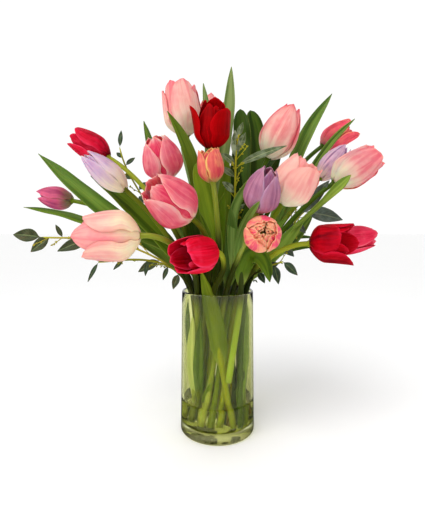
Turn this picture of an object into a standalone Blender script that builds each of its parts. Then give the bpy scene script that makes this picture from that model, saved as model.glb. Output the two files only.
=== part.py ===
"""Tulips and eucalyptus in a clear glass cylinder vase, with a little water.

Metres, +Z up. The origin is the centre of the vase's underside. Every tulip is a
green stem with its leaves and a bloom on top; every eucalyptus spray is one node.
"""
import math
import random

import bmesh
import bpy
from mathutils import Vector

MM = 0.001

# ---- vase and water ---------------------------------------------------------
VASE_HEIGHT = 200 * MM
VASE_BASE_RADIUS = 52.5 * MM
VASE_RIM_RADIUS = 49.5 * MM
VASE_WALL = 3.5 * MM
VASE_FLOOR = 14 * MM
VASE_SEGMENTS = 30
WATER_TOP = 47 * MM
FIT_GAP = 0.3 * MM
HOLE_GAP = 0.4 * MM

# ---- stems ------------------------------------------------------------------
FOOT_Z = 15.5 * MM
STEM_FOOT_RADIUS = 4.3 * MM
STEM_TOP_RADIUS = 3.1 * MM
TWIG_FOOT_RADIUS = 1.7 * MM
TWIG_TOP_RADIUS = 1.2 * MM
STEM_STEPS = (2, 3, 3)
TWIG_STEPS = (2, 3, 4)

# ---- petals and leaves ------------------------------------------------------
BLADE = 0.8 * MM
PETAL_HALF_ANGLE = math.radians(56)
INNER_ROOT = 3.2 * MM
OUTER_ROOT = 5.0 * MM
HEART_ROOT = 1.4 * MM
PETAL_ROOT_HEIGHT = 2.5 * MM
BELLY = 0.42
WHORL_GAP = 3 * MM
CORE_RADIUS = 6.3 * MM
CORE_HALF_HEIGHT = 4 * MM

# How far each sort of bloom has opened: tip radius as a share of the belly.
TIP_SHARE = {"slim": 0.38, "egg": 0.50, "cup": 0.66, "open": 0.84, "double": 0.75, "ball": 0.45}

# Blooms in millimetres: foot of the bloom, tip, belly radius, sort, turn in degrees.
BLOOMS = {
    "red_left": ((-156, 35, 387), (-212, 45, 421), 20.5, "cup", 25),
    "lilac_left": ((-115, -45, 333), (-164, -55, 377), 16.5, "slim", 45),
    "plum_left": ((-214, 45, 326), (-272, 55, 336), 17.5, "slim", 30),
    "blush_left": ((-81, -125, 279), (-151, -135, 278), 27, "egg", 30),
    "rose_upper": ((-62, -45, 345), (-76, -65, 396), 25, "cup", 30),
    "rose_front": ((-28, -105, 296), (-72, -130, 333), 26.5, "open", 30),
    "blush_top": ((-41, -10, 406), (-52, -15, 476), 25.5, "open", 106),
    "red_top": ((-8, -50, 381), (-6, -55, 443), 21.5, "open", 124),
    "coral_centre": ((-6, -85, 337), (-12, -90, 377), 15.5, "double", 10),
    "red_front": ((-4, -90, 259), (-43, -135, 257), 21.5, "open", 112),
    "blush_right": ((66, -10, 377), (99, -15, 445), 25, "egg", 80),
    "coral_right": ((156, 55, 407), (202, 65, 440), 19, "double", 30),
    "lilac_right": ((140, 10, 353), (182, 20, 400), 16.5, "slim", 55),
    "rose_right": ((145, -40, 342), (199, -40, 379), 23, "open", 110),
    "blush_mid": ((72, -85, 312), (101, -95, 365), 25.5, "open", 120),
    "lilac_mid": ((42, -105, 303), (52, -130, 349), 20.5, "cup", 0),
    "coral_front": ((47, -105, 278), (46, -140, 283), 20.5, "ball", 30),
    "red_right": ((106, -75, 268), (160, -85, 270), 22.5, "open", 66),
    "red_far": ((160, 20, 264), (226, 20, 274), 21, "cup", 65),
    "blush_back": ((-13, 90, 425), (-9, 100, 496), 21.5, "egg", 90),
}

# Outer petals that peel away from their bloom: bloom, petal number, how far.
PEELS = {"red_top": (2, 0.42), "red_right": (1, 0.36)}

# Stems in millimetres: where each stands, where it crosses the rim, its shoulder.
STEMS = {
    "red_left": ((-7, 24.5), (-27.5, 8), (-76.5, 16.5, 306.5)),
    "lilac_left": ((-24.5, 21), (-35.5, -10), (-64.5, -28.5, 272.5)),
    "plum_left": ((-12.5, 34.5), (-39.5, 10.5), (-112, 22.5, 283)),
    "blush_left": ((-34.5, 6), (-27, -30.5), (-40, -82, 254.5)),
    "rose_upper": ((-14, 16), (-25, -5), (-41.5, -21, 274)),
    "rose_front": ((-28.5, -6.5), (-13.5, -30.5), (-11, -65.5, 256.5)),
    "blush_top": ((-3.5, 13), (-15.5, 2.5), (-27, -3, 303)),
    "red_top": ((-21, 2), (-12.5, -15), (-8, -35.5, 290.5)),
    "coral_centre": ((-18.5, -8.5), (-1.5, -20), (0.5, -56, 268.5)),
    "red_front": ((19, -26), (-5.5, -36.5), (7, -59, 238.5)),
    "blush_right": ((8, -11), (15.5, 4), (35.5, -1, 290.5)),
    "coral_right": ((31, -13), (35, 21), (78.5, 38, 315)),
    "lilac_right": ((34, -22), (40.5, 6.5), (82.5, 4.5, 281)),
    "rose_right": ((28, -29.5), (39, -12.5), (83.5, -21, 278.5)),
    "blush_mid": ((-8.5, -23.5), (20.5, -16.5), (45.5, -44, 262)),
    "lilac_mid": ((-19, -21), (11, -25.5), (25.5, -65, 253)),
    "coral_front": ((14, -38.5), (30.5, -28), (29, -56, 268.5)),
    "red_right": ((2.5, -22), (30, -14), (60, -47.5, 245.5)),
    "red_far": ((21.5, -15), (30, 12), (83, 20, 246)),
    "blush_back": ((16, 15.5), (-5, 25.5), (-12.5, 57.5, 312.5)),
    "eucalyptus_left": ((-19.5, 26), (-37.5, -3), (-118, -36, 264)),
    "eucalyptus_low": ((-31, 14.5), (-34.5, -21.5), (-67.5, -55.5, 241)),
    "eucalyptus_upper": ((-3, 32.5), (-33, 16.5), (-91, 27.5, 301.5)),
    "eucalyptus_centre": ((0.5, -15), (16.5, -6.5), (22, -22, 311)),
    "eucalyptus_right": ((13.5, -21.5), (36.5, 0.5), (86, -16.5, 265.5)),
    "eucalyptus_rim": ((10.5, -18), (28, -4.5), (53, -25.5, 227.5)),
    "eucalyptus_back": ((32, 11), (8.5, 38.5), (13, 75.5, 300)),
}

# One tulip was cut short: its stem ends this far up, against the glass.
SHORT_STEMS = {"coral_front": 82}

# Ends of the eucalyptus stems in millimetres, and the way they point there.
SPRAY_ENDS = {
    "eucalyptus_left": ((-219, -58, 275), (-1, 0, 0.05)),
    "eucalyptus_low": ((-140, -88, 247), (-0.97, -0.1, -0.1)),
    "eucalyptus_upper": ((-144, 45, 404), (-0.2, 0.1, 0.98)),
    "eucalyptus_centre": ((24, -45, 398), (0.1, -0.1, 1)),
    "eucalyptus_right": ((117, -12, 308), (0.8, 0, 0.6)),
    "eucalyptus_rim": ((84, -40, 243), (0.9, -0.2, 0.3)),
    "eucalyptus_back": ((30, 130, 390), (0.2, 0.59, 0.78)),
}

# Tulip leaves in millimetres: stem, height they leave it, middle, tip, half width,
# the way the blade faces, and how deep its channel is.
LEAVES = (
    ("plum_left", 215, (-174, 3, 325), (-249, 10, 389), 13, (0, -0.86, 0.51), 0.22),
    ("lilac_left", 222, (-110, -22, 309), (-168, -18, 355), 11.5, (0, -0.8, 0.6), 0.22),
    ("lilac_left", 230, (-194, -14, 300), (-262, -11, 314), 6.5, (0, -0.6, 0.8), 0.22),
    ("blush_top", 235, (-34, -45, 374), (-62, -55, 428), 8.5, (0, -1, 0.1), 0.22),
    ("coral_centre", 235, (-16, -60, 323), (-26, -62, 365), 9.5, (0, -1, 0.15), 0.22),
    ("blush_back", 230, (17, 50, 460), (21, 60, 525), 9, (0, -1, 0), 0.22),
    ("blush_back", 270, (-15, 60, 455), (-21, 70, 505), 6, (0, -1, 0), 0.22),
    ("blush_right", 225, (36, 35, 405), (33, 40, 458), 13, (0, -1, 0), 0.22),
    ("coral_right", 225, (60, 55, 407), (50, 60, 462), 14, (0, -1, 0), 0.22),
    ("lilac_right", 240, (123, 20, 414), (163, 30, 476), 9.5, (0.2, -1, 0.1), 0.22),
    ("lilac_right", 250, (157, 21, 409), (193, 20, 439), 5, (0, -0.96, 0.29), 0.22),
    ("rose_right", 235, (128, -58, 318), (156, -75, 349), 6.5, (0, -0.7, 0.7), 0.22),
    ("red_left", 250, (-95, 30, 402), (-107, 40, 441), 6, (0, -1, 0), 0.22),
    ("red_front", 95, (-4, -39.5, 165), (-22, -44, 232), 12, (0, -1, 0), -0.28),
    ("coral_front", 207, (46, -61, 254), (64, -64, 220), 12, (0.2, -1, 0.2), 0.22),
    ("lilac_mid", 203, (13, -28, 223), (14, -34, 240), 5.5, (0, -1, 0), 0.22),
    ("lilac_mid", 235, (23, -93, 277), (35, -135, 315), 4.5, (0, -1, 0), 0.22),
    ("lilac_right", 222, (103, 1, 269), (133, 0, 308), 9, (-0.2, -1, 0.3), 0.22),
    ("rose_right", 212, (80, -31, 257), (106, -40, 290), 8.5, (-0.2, -1, 0.3), 0.22),
    ("lilac_mid", 225, (22, -54, 314), (54, -55, 360), 6, (0, -1, 0), 0.22),
    ("rose_front", 245, (-15, -72, 279), (-22, -78, 305), 6, (0, -1, 0), 0.22),
    ("blush_back", 215, (-35, 87, 360), (-60, 125, 420), 11, (0, 1, 0.2), 0.22),
    ("coral_right", 215, (60, 75, 320), (100, 130, 370), 11.5, (0.3, 1, 0.3), 0.22),
    ("plum_left", 230, (-95, 60, 268), (-160, 95, 288), 11, (-0.2, 0.8, 0.5), 0.22),
    ("coral_right", 207, (91, 60, 260), (160, 100, 270), 11.5, (0.2, 0.5, 0.8), 0.22),
    ("blush_back", 222, (26, 60, 352), (52, 95, 425), 9, (0, 1, 0), 0.22),
    ("blush_back", 205, (20, 90, 270), (30, 150, 300), 11, (0, 0.9, 0.45), 0.22),
    ("red_left", 213, (-59, 51, 281), (-110, 100, 300), 11, (-0.3, 0.8, 0.5), 0.22),
)

# Eucalyptus leaves: share of the way along the free stem, the way they point,
# length and width in millimetres.
SPRAY_LEAVES = {
    "eucalyptus_left": (
        (1, (-0.95, -0.15, 0.2), 33, 17),
        (0.95, (-0.75, -0.2, -0.5), 27, 15),
        (0.88, (-0.35, -0.15, 0.9), 20, 6),
        (0.72, (-0.88, -0.35, -0.25), 42, 16),
        (0.29, (-0.85, -0.4, -0.35), 32, 13),
        (0.14, (-0.3, -0.5, -0.8), 22, 10),
    ),
    "eucalyptus_low": (
        (1, (-0.5, -0.15, -0.85), 24, 5),
        (0.94, (-0.85, -0.4, 0.3), 14, 4),
        (0.8, (-0.7, -0.4, -0.6), 16, 5),
        (0.6, (-0.1, -0.4, -0.9), 18, 6),
        (0.4, (-0.3, -0.5, -0.8), 18, 6),
    ),
    "eucalyptus_upper": (
        (1, (0.1, 0, 1), 28, 7),
        (0.93, (-0.57, 0.55, 0.61), 20, 7),
        (0.88, (0.7, 0.12, 0.7), 20, 7),
        (0.78, (-0.69, 0.52, 0.5), 22, 9),
        (0.7, (0.57, 0.46, 0.68), 22, 10),
        (0.6, (-0.58, 0.58, 0.58), 24, 11),
        (0.5, (0.36, 0.72, 0.6), 24, 11),
    ),
    "eucalyptus_centre": (
        (1, (0.3, -0.1, 0.95), 22, 7),
        (0.9, (0.35, 0.1, 0.93), 34, 10),
        (0.87, (-0.05, -0.3, 0.95), 40, 11),
        (0.84, (-0.6, -0.7, 0.4), 33, 10),
        (0.8, (0.84, -0.1, 0.52), 46, 9),
        (0.76, (-0.7, 0.2, 0.65), 26, 9),
        (0.66, (-0.6, -0.55, 0.55), 28, 10),
        (0.62, (0.72, -0.15, 0.65), 50, 10),
        (0.52, (0.46, -0.68, 0.57), 28, 10),
    ),
    "eucalyptus_right": (
        (1, (0.96, -0.1, -0.22), 52, 21),
        (0.93, (0.35, -0.25, 0.9), 34, 13),
        (0.86, (0.6, -0.4, -0.6), 20, 10),
        (0.72, (0.3, -0.2, 0.9), 20, 8),
        (0.6, (0.65, -0.54, -0.54), 24, 12),
        (0.5, (0.61, -0.5, 0.61), 18, 8),
    ),
    "eucalyptus_rim": (
        (1, (0.75, -0.1, -0.6), 24, 11),
        (0.85, (0.2, -0.3, -0.9), 24, 11),
        (0.7, (0.8, -0.4, 0.45), 20, 9),
        (0.55, (0.33, -0.77, -0.55), 20, 9),
    ),
    "eucalyptus_back": (
        (1, (0.1, 0.4, 0.91), 26, 10),
        (0.93, (-0.64, 0.43, 0.64), 24, 11),
        (0.88, (0.85, 0.29, 0.43), 24, 11),
        (0.79, (-0.67, 0.67, 0.33), 26, 13),
        (0.73, (0.54, 0.81, 0.21), 26, 13),
        (0.63, (-0.64, 0.74, 0.21), 28, 14),
        (0.56, (0.64, 0.74, 0.21), 28, 14),
        (0.46, (-0.31, 0.93, 0.21), 26, 13),
    ),
}

COLOURS = {
    "glass": (0.80, 0.86, 0.82),
    "water": (0.75, 0.80, 0.72),
    "stem": (0.22, 0.38, 0.08),
    "eucalyptus": (0.10, 0.18, 0.09),
    "red": (0.62, 0.02, 0.03),
    "blush": (0.92, 0.60, 0.58),
    "rose": (0.88, 0.40, 0.48),
    "lilac": (0.66, 0.48, 0.70),
    "plum": (0.55, 0.18, 0.34),
    "coral": (0.85, 0.34, 0.26),
}


# ---- small helpers ----------------------------------------------------------
def clear_scene():
    for item in list(bpy.data.objects):
        bpy.data.objects.remove(item, do_unlink=True)


def collection(name):
    made = bpy.data.collections.new(name)
    bpy.context.scene.collection.children.link(made)
    return made


def material(name, colour, roughness, transmission=0.0):
    made = bpy.data.materials.new(name)
    made.use_nodes = True
    shader = made.node_tree.nodes["Principled BSDF"]
    shader.inputs["Base Color"].default_value = (*colour, 1)
    shader.inputs["Roughness"].default_value = roughness
    shader.inputs["Transmission Weight"].default_value = transmission
    made.diffuse_color = (*colour, 1)
    return made


def point(values):
    return Vector(values) * MM


def add_mesh(name, mesh, where):
    item = bpy.data.objects.new(name, mesh)
    where.objects.link(item)
    return item


def baked(item, name):
    """A plain mesh of the object with its modifiers applied."""
    depsgraph = bpy.context.evaluated_depsgraph_get()
    mesh = bpy.data.meshes.new_from_object(item.evaluated_get(depsgraph))
    mesh.name = name
    return mesh


def weld(mesh):
    work = bmesh.new()
    work.from_mesh(mesh)
    bmesh.ops.remove_doubles(work, verts=work.verts, dist=0.01 * MM)
    bmesh.ops.recalc_face_normals(work, faces=work.faces)
    work.to_mesh(mesh)
    work.free()


def smooth(item):
    for face in item.data.polygons:
        face.use_smooth = True


# ---- stems ------------------------------------------------------------------
def hermite(points, tangents, place):
    """Place 0..1 along a run of cubic pieces; tangents hold (out, in) per piece."""
    pieces = len(points) - 1
    piece = min(int(place * pieces), pieces - 1)
    s = place * pieces - piece
    out, back = tangents[piece]
    return (
        points[piece] * (2 * s**3 - 3 * s**2 + 1)
        + out * (s**3 - 2 * s**2 + s)
        + points[piece + 1] * (3 * s**2 - 2 * s**3)
        + back * (s**3 - s**2)
    )


def stem_ends(name):
    if name in BLOOMS:
        foot, tip = BLOOMS[name][0], BLOOMS[name][1]
        way = (point(tip) - point(foot)).normalized()
        return point(foot), way
    end, way = SPRAY_ENDS[name]
    return point(end), Vector(way).normalized()


def stem_frame(name):
    """Control points and tangents of a stem: foot, rim, shoulder, top."""
    foot_xy, rim_xy, shoulder = STEMS[name]
    foot_z = SHORT_STEMS.get(name, FOOT_Z / MM)
    foot = point((*foot_xy, foot_z))
    rim = point((*rim_xy, VASE_HEIGHT / MM))
    turn = point(shoulder)
    top, way = stem_ends(name)
    first = rim - foot
    second = turn - rim
    third = top - turn
    at_rim = (first.normalized() * 1.2 + second.normalized() * 0.8).normalized()
    at_turn = (second.normalized() + third.normalized()).normalized()
    tangents = (
        (first, at_rim * first.length * 0.7),
        (at_rim * second.length, at_turn * second.length),
        (at_turn * third.length, way * third.length),
    )
    return (foot, rim, turn, top), tangents


def stem_points(name, steps):
    """Points down the stem's middle line: so many steps to each of its three runs."""
    points, tangents = stem_frame(name)
    places = [(run + i / count) / 3 for run, count in enumerate(steps) for i in range(count)]
    return [hermite(points, tangents, place) for place in (*places, 1.0)]


def stem_form(name):
    """Steps to each run of a stem, and its radius at the foot and the top."""
    if name in BLOOMS:
        return STEM_STEPS, STEM_FOOT_RADIUS, STEM_TOP_RADIUS
    return TWIG_STEPS, TWIG_FOOT_RADIUS, TWIG_TOP_RADIUS


def tube(name, points, radii, sides, where):
    """A closed tapering tube along the points."""
    curve = bpy.data.curves.new(name, "CURVE")
    curve.dimensions = "3D"
    curve.bevel_depth = 1.0
    curve.bevel_resolution = sides
    curve.use_fill_caps = True
    line = curve.splines.new("POLY")
    line.points.add(len(points) - 1)
    for spot, place, radius in zip(line.points, points, radii):
        spot.co = (*place, 1)
        spot.radius = radius
    drawn = bpy.data.objects.new(name, curve)
    where.objects.link(drawn)
    mesh = baked(drawn, name)
    bpy.data.objects.remove(drawn, do_unlink=True)
    bpy.data.curves.remove(curve)
    weld(mesh)
    return add_mesh(name, mesh, where)


def stem_tube(name, extra, where, label):
    steps, low, high = stem_form(name)
    points = stem_points(name, steps)
    if extra:
        down = (points[0] - points[1]).normalized()
        points[0] = points[0] + down * 8 * MM
    last = len(points) - 1
    radii = [low + (high - low) * i / last + extra for i in range(last + 1)]
    sides = 1 if name in BLOOMS else 0
    return tube(label, points, radii, sides, where)


# ---- blades -----------------------------------------------------------------
def blade(name, across, along, shape, where):
    """A thin shell over a grid: shape(u, v) gives the point, u 0..1, v -1..1."""
    work = bmesh.new()
    bmesh.ops.create_grid(work, x_segments=along, y_segments=across, size=0.5)
    for vert in work.verts:
        u = min(max(vert.co.x + 0.5, 0.0), 1.0)
        v = min(max(vert.co.y * 2, -1.0), 1.0)
        vert.co = shape(u, v)
    bmesh.ops.triangulate(work, faces=work.faces)
    mesh = bpy.data.meshes.new(name)
    work.to_mesh(mesh)
    work.free()
    sheet = add_mesh(name, mesh, where)
    shell = sheet.modifiers.new("thickness", "SOLIDIFY")
    shell.thickness = BLADE
    shell.offset = 0.0
    solid = add_mesh(name, baked(sheet, name), where)
    bpy.data.objects.remove(sheet, do_unlink=True)
    return solid


def leaf_root(stem, height):
    """The point of the stem at this height, and the way it runs there."""
    points = stem_points(stem, STEM_STEPS)
    for low, high in zip(points, points[1:]):
        if high.z >= height:
            share = (height - low.z) / (high.z - low.z)
            return low.lerp(high, share), (high - low).normalized()
    return points[-1], (points[-1] - points[-2]).normalized()


def leaf_width(u):
    rise = min(u / 0.36, 1.0)
    fall = min(max((u - 0.36) / 0.64, 0.0), 1.0)
    sheath = min(0.26 + 0.74 * rise**1.3 * (3 - 2 * rise), 1.0)
    return sheath * max((1 - fall**2.3) ** 0.9, 0.05)


def leaf_shape(stem, height, middle, tip, half_width, face, channel):
    root, way = leaf_root(stem, height * MM)
    middle = point(middle)
    tip = point(tip)
    face = Vector(face).normalized()
    first = middle - root
    second = tip - middle
    at_middle = (first.normalized() + second.normalized()).normalized()
    at_tip = (second.normalized() * 1.6 - at_middle * 0.6).normalized()
    points = (root, middle, tip)
    tangents = (
        (way * first.length * 0.8, at_middle * first.length),
        (at_middle * second.length, at_tip * second.length),
    )

    def place(u, v):
        here = hermite(points, tangents, u)
        back = hermite(points, tangents, max(u - 0.02, 0.0))
        ahead = hermite(points, tangents, min(u + 0.02, 1.0))
        run = (ahead - back).normalized()
        side = run.cross(face).normalized()
        out = side.cross(run)
        half = half_width * MM * leaf_width(u)
        return here + side * half * v + out * channel * half * v * v

    return place


def spray_path(name):
    """The free part of a eucalyptus stem, with the distance run at each point."""
    points = stem_points(name, TWIG_STEPS)[TWIG_STEPS[0]:]
    runs = [0.0]
    for low, high in zip(points, points[1:]):
        runs.append(runs[-1] + (high - low).length)
    return points, runs


def spray_root(name, share):
    points, runs = spray_path(name)
    goal = share * runs[-1]
    for i in range(1, len(runs)):
        if runs[i] >= goal:
            part = (goal - runs[i - 1]) / (runs[i] - runs[i - 1])
            return points[i - 1].lerp(points[i], part)
    return points[-1]


def spray_leaf_shape(name, share, way, length, width):
    root = spray_root(name, share)
    way = Vector(way).normalized()
    view = Vector((0, -1, 0.35)).normalized()
    if abs(way.dot(view)) > 0.8:
        view = Vector((0, 0, 1))
    side = way.cross(view).normalized()
    out = side.cross(way)

    def place(u, v):
        bulge = math.sin(math.pi * min(u, 0.999) ** 0.8) ** 0.8
        half = width * MM / 2 * max(bulge, 0.10)
        here = root + way * length * MM * u + Vector((0, 0, -0.1 * length * MM * u * u))
        return here + side * half * v + out * 0.18 * half * abs(v)

    return place


# ---- blooms -----------------------------------------------------------------
def standoff(u, root, radius, tip_share):
    """Distance of a petal from the bloom's axis, u from root to tip."""
    if u < BELLY:
        rise = math.sin(u / BELLY * math.pi / 2) ** 0.9
        return root + (radius - root) * rise
    return radius * (1 - (1 - tip_share) * ((u - BELLY) / (1 - BELLY)) ** 2.2)


def petal_width(u):
    rise = min(0.55 + u, 1.0)
    fall = min(max((u - 0.45) / 0.55, 0.0), 1.0)
    return rise * max((1 - fall**2.2) ** 0.75, 0.15)


def petal_shape(frame, length, root, radius, tip_share, angle, peel):
    """One petal round the bloom's axis; peel bends its tip outward."""
    foot, axis, across = frame
    over = axis.cross(across)

    def place(u, v):
        u = u * 1.12 - 0.12 * u * u
        out = standoff(u, root, radius, tip_share)
        spread = PETAL_HALF_ANGLE * min(0.42 + u * 2.4, 1.0)
        half = min(petal_width(u) * PETAL_HALF_ANGLE * radius / out, spread)
        turn = angle + half * v
        bend = peel * radius * u**2.5
        height = PETAL_ROOT_HEIGHT + (length - PETAL_ROOT_HEIGHT) * u**1.1 - 0.25 * bend
        round_axis = across * math.cos(turn) + over * math.sin(turn)
        return foot + axis * height + round_axis * (out + bend)

    return place


def bloom_core(name, foot, axis, where):
    work = bmesh.new()
    bmesh.ops.create_uvsphere(work, u_segments=6, v_segments=3, radius=1)
    spin = Vector((0, 0, 1)).rotation_difference(axis)
    for vert in work.verts:
        x, y, z = vert.co
        flat = Vector((x * CORE_RADIUS, y * CORE_RADIUS, z * CORE_HALF_HEIGHT))
        vert.co = spin @ flat + foot + axis * (CORE_HALF_HEIGHT + FIT_GAP)
    mesh = bpy.data.meshes.new(name)
    work.to_mesh(mesh)
    work.free()
    return add_mesh(name, mesh, where)


def whorls(sort, radius):
    """Each whorl: root and belly radius, tip share, length share, turn in degrees."""
    tip_share = TIP_SHARE[sort]
    inner = radius - WHORL_GAP
    rows = [
        (INNER_ROOT, inner, tip_share, 0.97, 60),
        (OUTER_ROOT, radius, tip_share, 1.0, 0),
    ]
    if sort in ("double", "ball"):
        rows.append((HEART_ROOT, inner * 0.62, tip_share, 0.86, 20))
    return rows


def bloom(name, where, scratch, paint):
    foot, tip, radius, sort, turn = BLOOMS[name]
    foot = point(foot)
    tip = point(tip)
    length = (tip - foot).length
    axis = (tip - foot).normalized()
    frame = (foot, axis, axis.cross(Vector((0, 1, 0))).normalized())
    peeling, peel_by = PEELS.get(name, (None, 0.0))
    wobble = random.Random(name)
    for row, (root, out, tip_share, reach, shift) in enumerate(whorls(sort, radius * MM)):
        for i in range(3):
            angle = math.radians(turn + shift + i * 120 + wobble.uniform(-1, 1))
            peel = peel_by if row == 1 and i == peeling else 0.0
            shape = petal_shape(frame, length * reach, root, out, tip_share, angle, peel)
            blade(f"{name}_petal_{row}_{i}", 2, 3, shape, scratch)
    body = bloom_core(name + "_bloom", foot, axis, where)
    return joined(body, scratch, paint)


# ---- joining ----------------------------------------------------------------
def joined(body, scratch, paint):
    """The body and everything in the scratch collection as one closed solid."""
    if len(scratch.objects):
        union = body.modifiers.new("union", "BOOLEAN")
        union.operation = "UNION"
        union.solver = "EXACT"
        union.operand_type = "COLLECTION"
        union.collection = scratch
        mesh = baked(body, body.name)
        body.modifiers.clear()
        old = body.data
        body.data = mesh
        bpy.data.meshes.remove(old)
        for item in list(scratch.objects):
            bpy.data.objects.remove(item, do_unlink=True)
    body.data.materials.clear()
    body.data.materials.append(paint)
    smooth(body)
    return body


def tulip_stem(name, where, scratch, paint):
    for row, leaf in enumerate(LEAVES):
        if leaf[0] == name:
            blade(f"{name}_leaf_{row}", 2, 3 if leaf[4] < 7 else 4, leaf_shape(*leaf), scratch)
    return joined(stem_tube(name, 0.0, where, name + "_stem"), scratch, paint)


def spray(name, where, scratch, paint):
    for row, (share, way, length, width) in enumerate(SPRAY_LEAVES[name]):
        shape = spray_leaf_shape(name, share, way, length, width)
        blade(f"{name}_leaf_{row}", 1, 2 if width < 9 else 3, shape, scratch)
    return joined(stem_tube(name, 0.0, where, name), scratch, paint)


# ---- glass and water --------------------------------------------------------
def wall_radius(height):
    share = height / VASE_HEIGHT
    return VASE_BASE_RADIUS + (VASE_RIM_RADIUS - VASE_BASE_RADIUS) * share


def turned(name, profile, where, paint):
    """Spin a profile, listed down its outer side from top to bottom and back."""
    work = bmesh.new()
    verts = [work.verts.new((x, 0, z)) for x, z in profile]
    for low, high in zip(verts, verts[1:]):
        work.edges.new((low, high))
    mesh = bpy.data.meshes.new(name)
    work.to_mesh(mesh)
    work.free()
    item = add_mesh(name, mesh, where)
    spin = item.modifiers.new("spin", "SCREW")
    spin.axis = "Z"
    spin.steps = VASE_SEGMENTS
    spin.render_steps = VASE_SEGMENTS
    spin.use_merge_vertices = True
    spin.merge_threshold = 0.0001
    mesh = baked(item, name)
    item.modifiers.clear()
    item.data = mesh
    weld(item.data)
    item.data.materials.append(paint)
    smooth(item)
    return item


def vase(where, paint):
    top = VASE_HEIGHT
    rim = VASE_RIM_RADIUS
    inner = rim - VASE_WALL
    floor_radius = wall_radius(VASE_FLOOR) - VASE_WALL
    profile = (
        (inner + 1.0 * MM, top),
        (rim - 0.9 * MM, top - 0.1 * MM),
        (rim, top - 1.5 * MM),
        (wall_radius(VASE_FLOOR), VASE_FLOOR),
        (VASE_BASE_RADIUS, 2.5 * MM),
        (VASE_BASE_RADIUS - 2 * MM, 0),
        (0, 0),
    )
    inside = (
        (0, VASE_FLOOR),
        (floor_radius - 3 * MM, VASE_FLOOR),
        (floor_radius, VASE_FLOOR + 3 * MM),
        (inner, top - 1.5 * MM),
        (inner + 1.0 * MM, top),
    )
    return turned("vase", profile + inside, where, paint)


def water(where, scratch, paint):
    low = VASE_FLOOR + FIT_GAP
    low_radius = wall_radius(VASE_FLOOR) - VASE_WALL - FIT_GAP
    high_radius = wall_radius(WATER_TOP) - VASE_WALL - FIT_GAP
    profile = (
        (0, WATER_TOP),
        (high_radius, WATER_TOP),
        (low_radius, low + 3 * MM),
        (low_radius - 3.2 * MM, low),
        (0, low),
    )
    body = turned("water", profile, where, paint)
    for name in STEMS:
        if SHORT_STEMS.get(name, 0) * MM < WATER_TOP:
            stem_tube(name, HOLE_GAP, scratch, name + "_hole")
    cut = body.modifiers.new("holes", "BOOLEAN")
    cut.operation = "DIFFERENCE"
    cut.solver = "EXACT"
    cut.operand_type = "COLLECTION"
    cut.collection = scratch
    mesh = baked(body, "water")
    body.modifiers.clear()
    body.data = mesh
    for item in list(scratch.objects):
        bpy.data.objects.remove(item, do_unlink=True)
    body.data.materials.clear()
    body.data.materials.append(paint)
    smooth(body)
    return body


def main():
    clear_scene()
    bouquet = collection("tulips_in_a_vase")
    scratch = collection("scratch")
    vase(bouquet, material("vase_glass", COLOURS["glass"], 0.03, 1.0))
    water(bouquet, scratch, material("water_clear", COLOURS["water"], 0.02, 1.0))
    for name in BLOOMS:
        green = material(name + "_green", COLOURS["stem"], 0.5)
        tulip_stem(name, bouquet, scratch, green)
        petals = material(name + "_petals", COLOURS[name.split("_")[0]], 0.45)
        bloom(name, bouquet, scratch, petals)
    for name in SPRAY_LEAVES:
        spray(name, bouquet, scratch, material(name + "_grey", COLOURS["eucalyptus"], 0.55))
    bpy.data.collections.remove(scratch)


main()
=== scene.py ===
"""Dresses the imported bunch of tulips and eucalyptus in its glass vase.

Every bloom, stem, leaf and spray follows the same lines as its plain solid, drawn finer
and with the colours, veins and folds of the real plant. Metres, +Z up.
"""

from __future__ import annotations

import logging
import math
import random
from collections.abc import Callable, Sequence
from dataclasses import dataclass, field, replace
from enum import Enum

import bmesh
import bpy
from mathutils import Matrix, Vector


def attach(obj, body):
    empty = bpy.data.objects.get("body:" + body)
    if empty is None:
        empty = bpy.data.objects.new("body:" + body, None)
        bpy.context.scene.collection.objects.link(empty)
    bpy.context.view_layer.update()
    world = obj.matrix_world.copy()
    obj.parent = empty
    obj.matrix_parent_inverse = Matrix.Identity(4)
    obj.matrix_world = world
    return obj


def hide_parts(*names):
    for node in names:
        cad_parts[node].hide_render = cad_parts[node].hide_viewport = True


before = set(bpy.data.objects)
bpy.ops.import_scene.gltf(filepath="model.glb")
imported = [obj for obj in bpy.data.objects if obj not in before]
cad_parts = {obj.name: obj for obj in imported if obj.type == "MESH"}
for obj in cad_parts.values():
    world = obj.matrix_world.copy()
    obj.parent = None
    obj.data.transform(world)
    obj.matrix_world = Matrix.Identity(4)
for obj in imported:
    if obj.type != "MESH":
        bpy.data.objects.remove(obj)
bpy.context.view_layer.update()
LOG = logging.getLogger("tulips")

Colour = tuple[float, float, float]
Triple = tuple[float, float, float]
Place = Callable[[float, float], Vector]

MM = 0.001
ROOT_BODY = "root"
SEED = "seed"
UV = "UVMap"


class Opening(Enum):
    """How far a bloom has opened: its tip radius as a share of its belly."""

    EGG = 0.42
    CUP = 0.60


# ---- colours ----------------------------------------------------------------
def tone(red: int, green: int, blue: int) -> Colour:
    """A colour given as three screen values, in linear light.

    Args:
        red: Red, 0 to 255.
        green: Green, 0 to 255.
        blue: Blue, 0 to 255.

    Returns:
        The same colour as linear values, 0 to 1.
    """

    def linear(value: int) -> float:
        """One channel in linear light."""
        share = value / 255
        return share / 12.92 if share <= 0.04045 else ((share + 0.055) / 1.055) ** 2.4

    return linear(red), linear(green), linear(blue)


# The painted shade in the heart of the bunch: its dark colour, its soft edge, and the heights, in metres,
# over which it fades in from below and from above.
HEART_SHADE_GREEN = tone(20, 30, 2)
HEART_SHADE_EDGE = 22 * MM
HEART_SHADE_HEIGHTS = ((0.17, 0.2), (0.32, 0.26))


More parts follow.
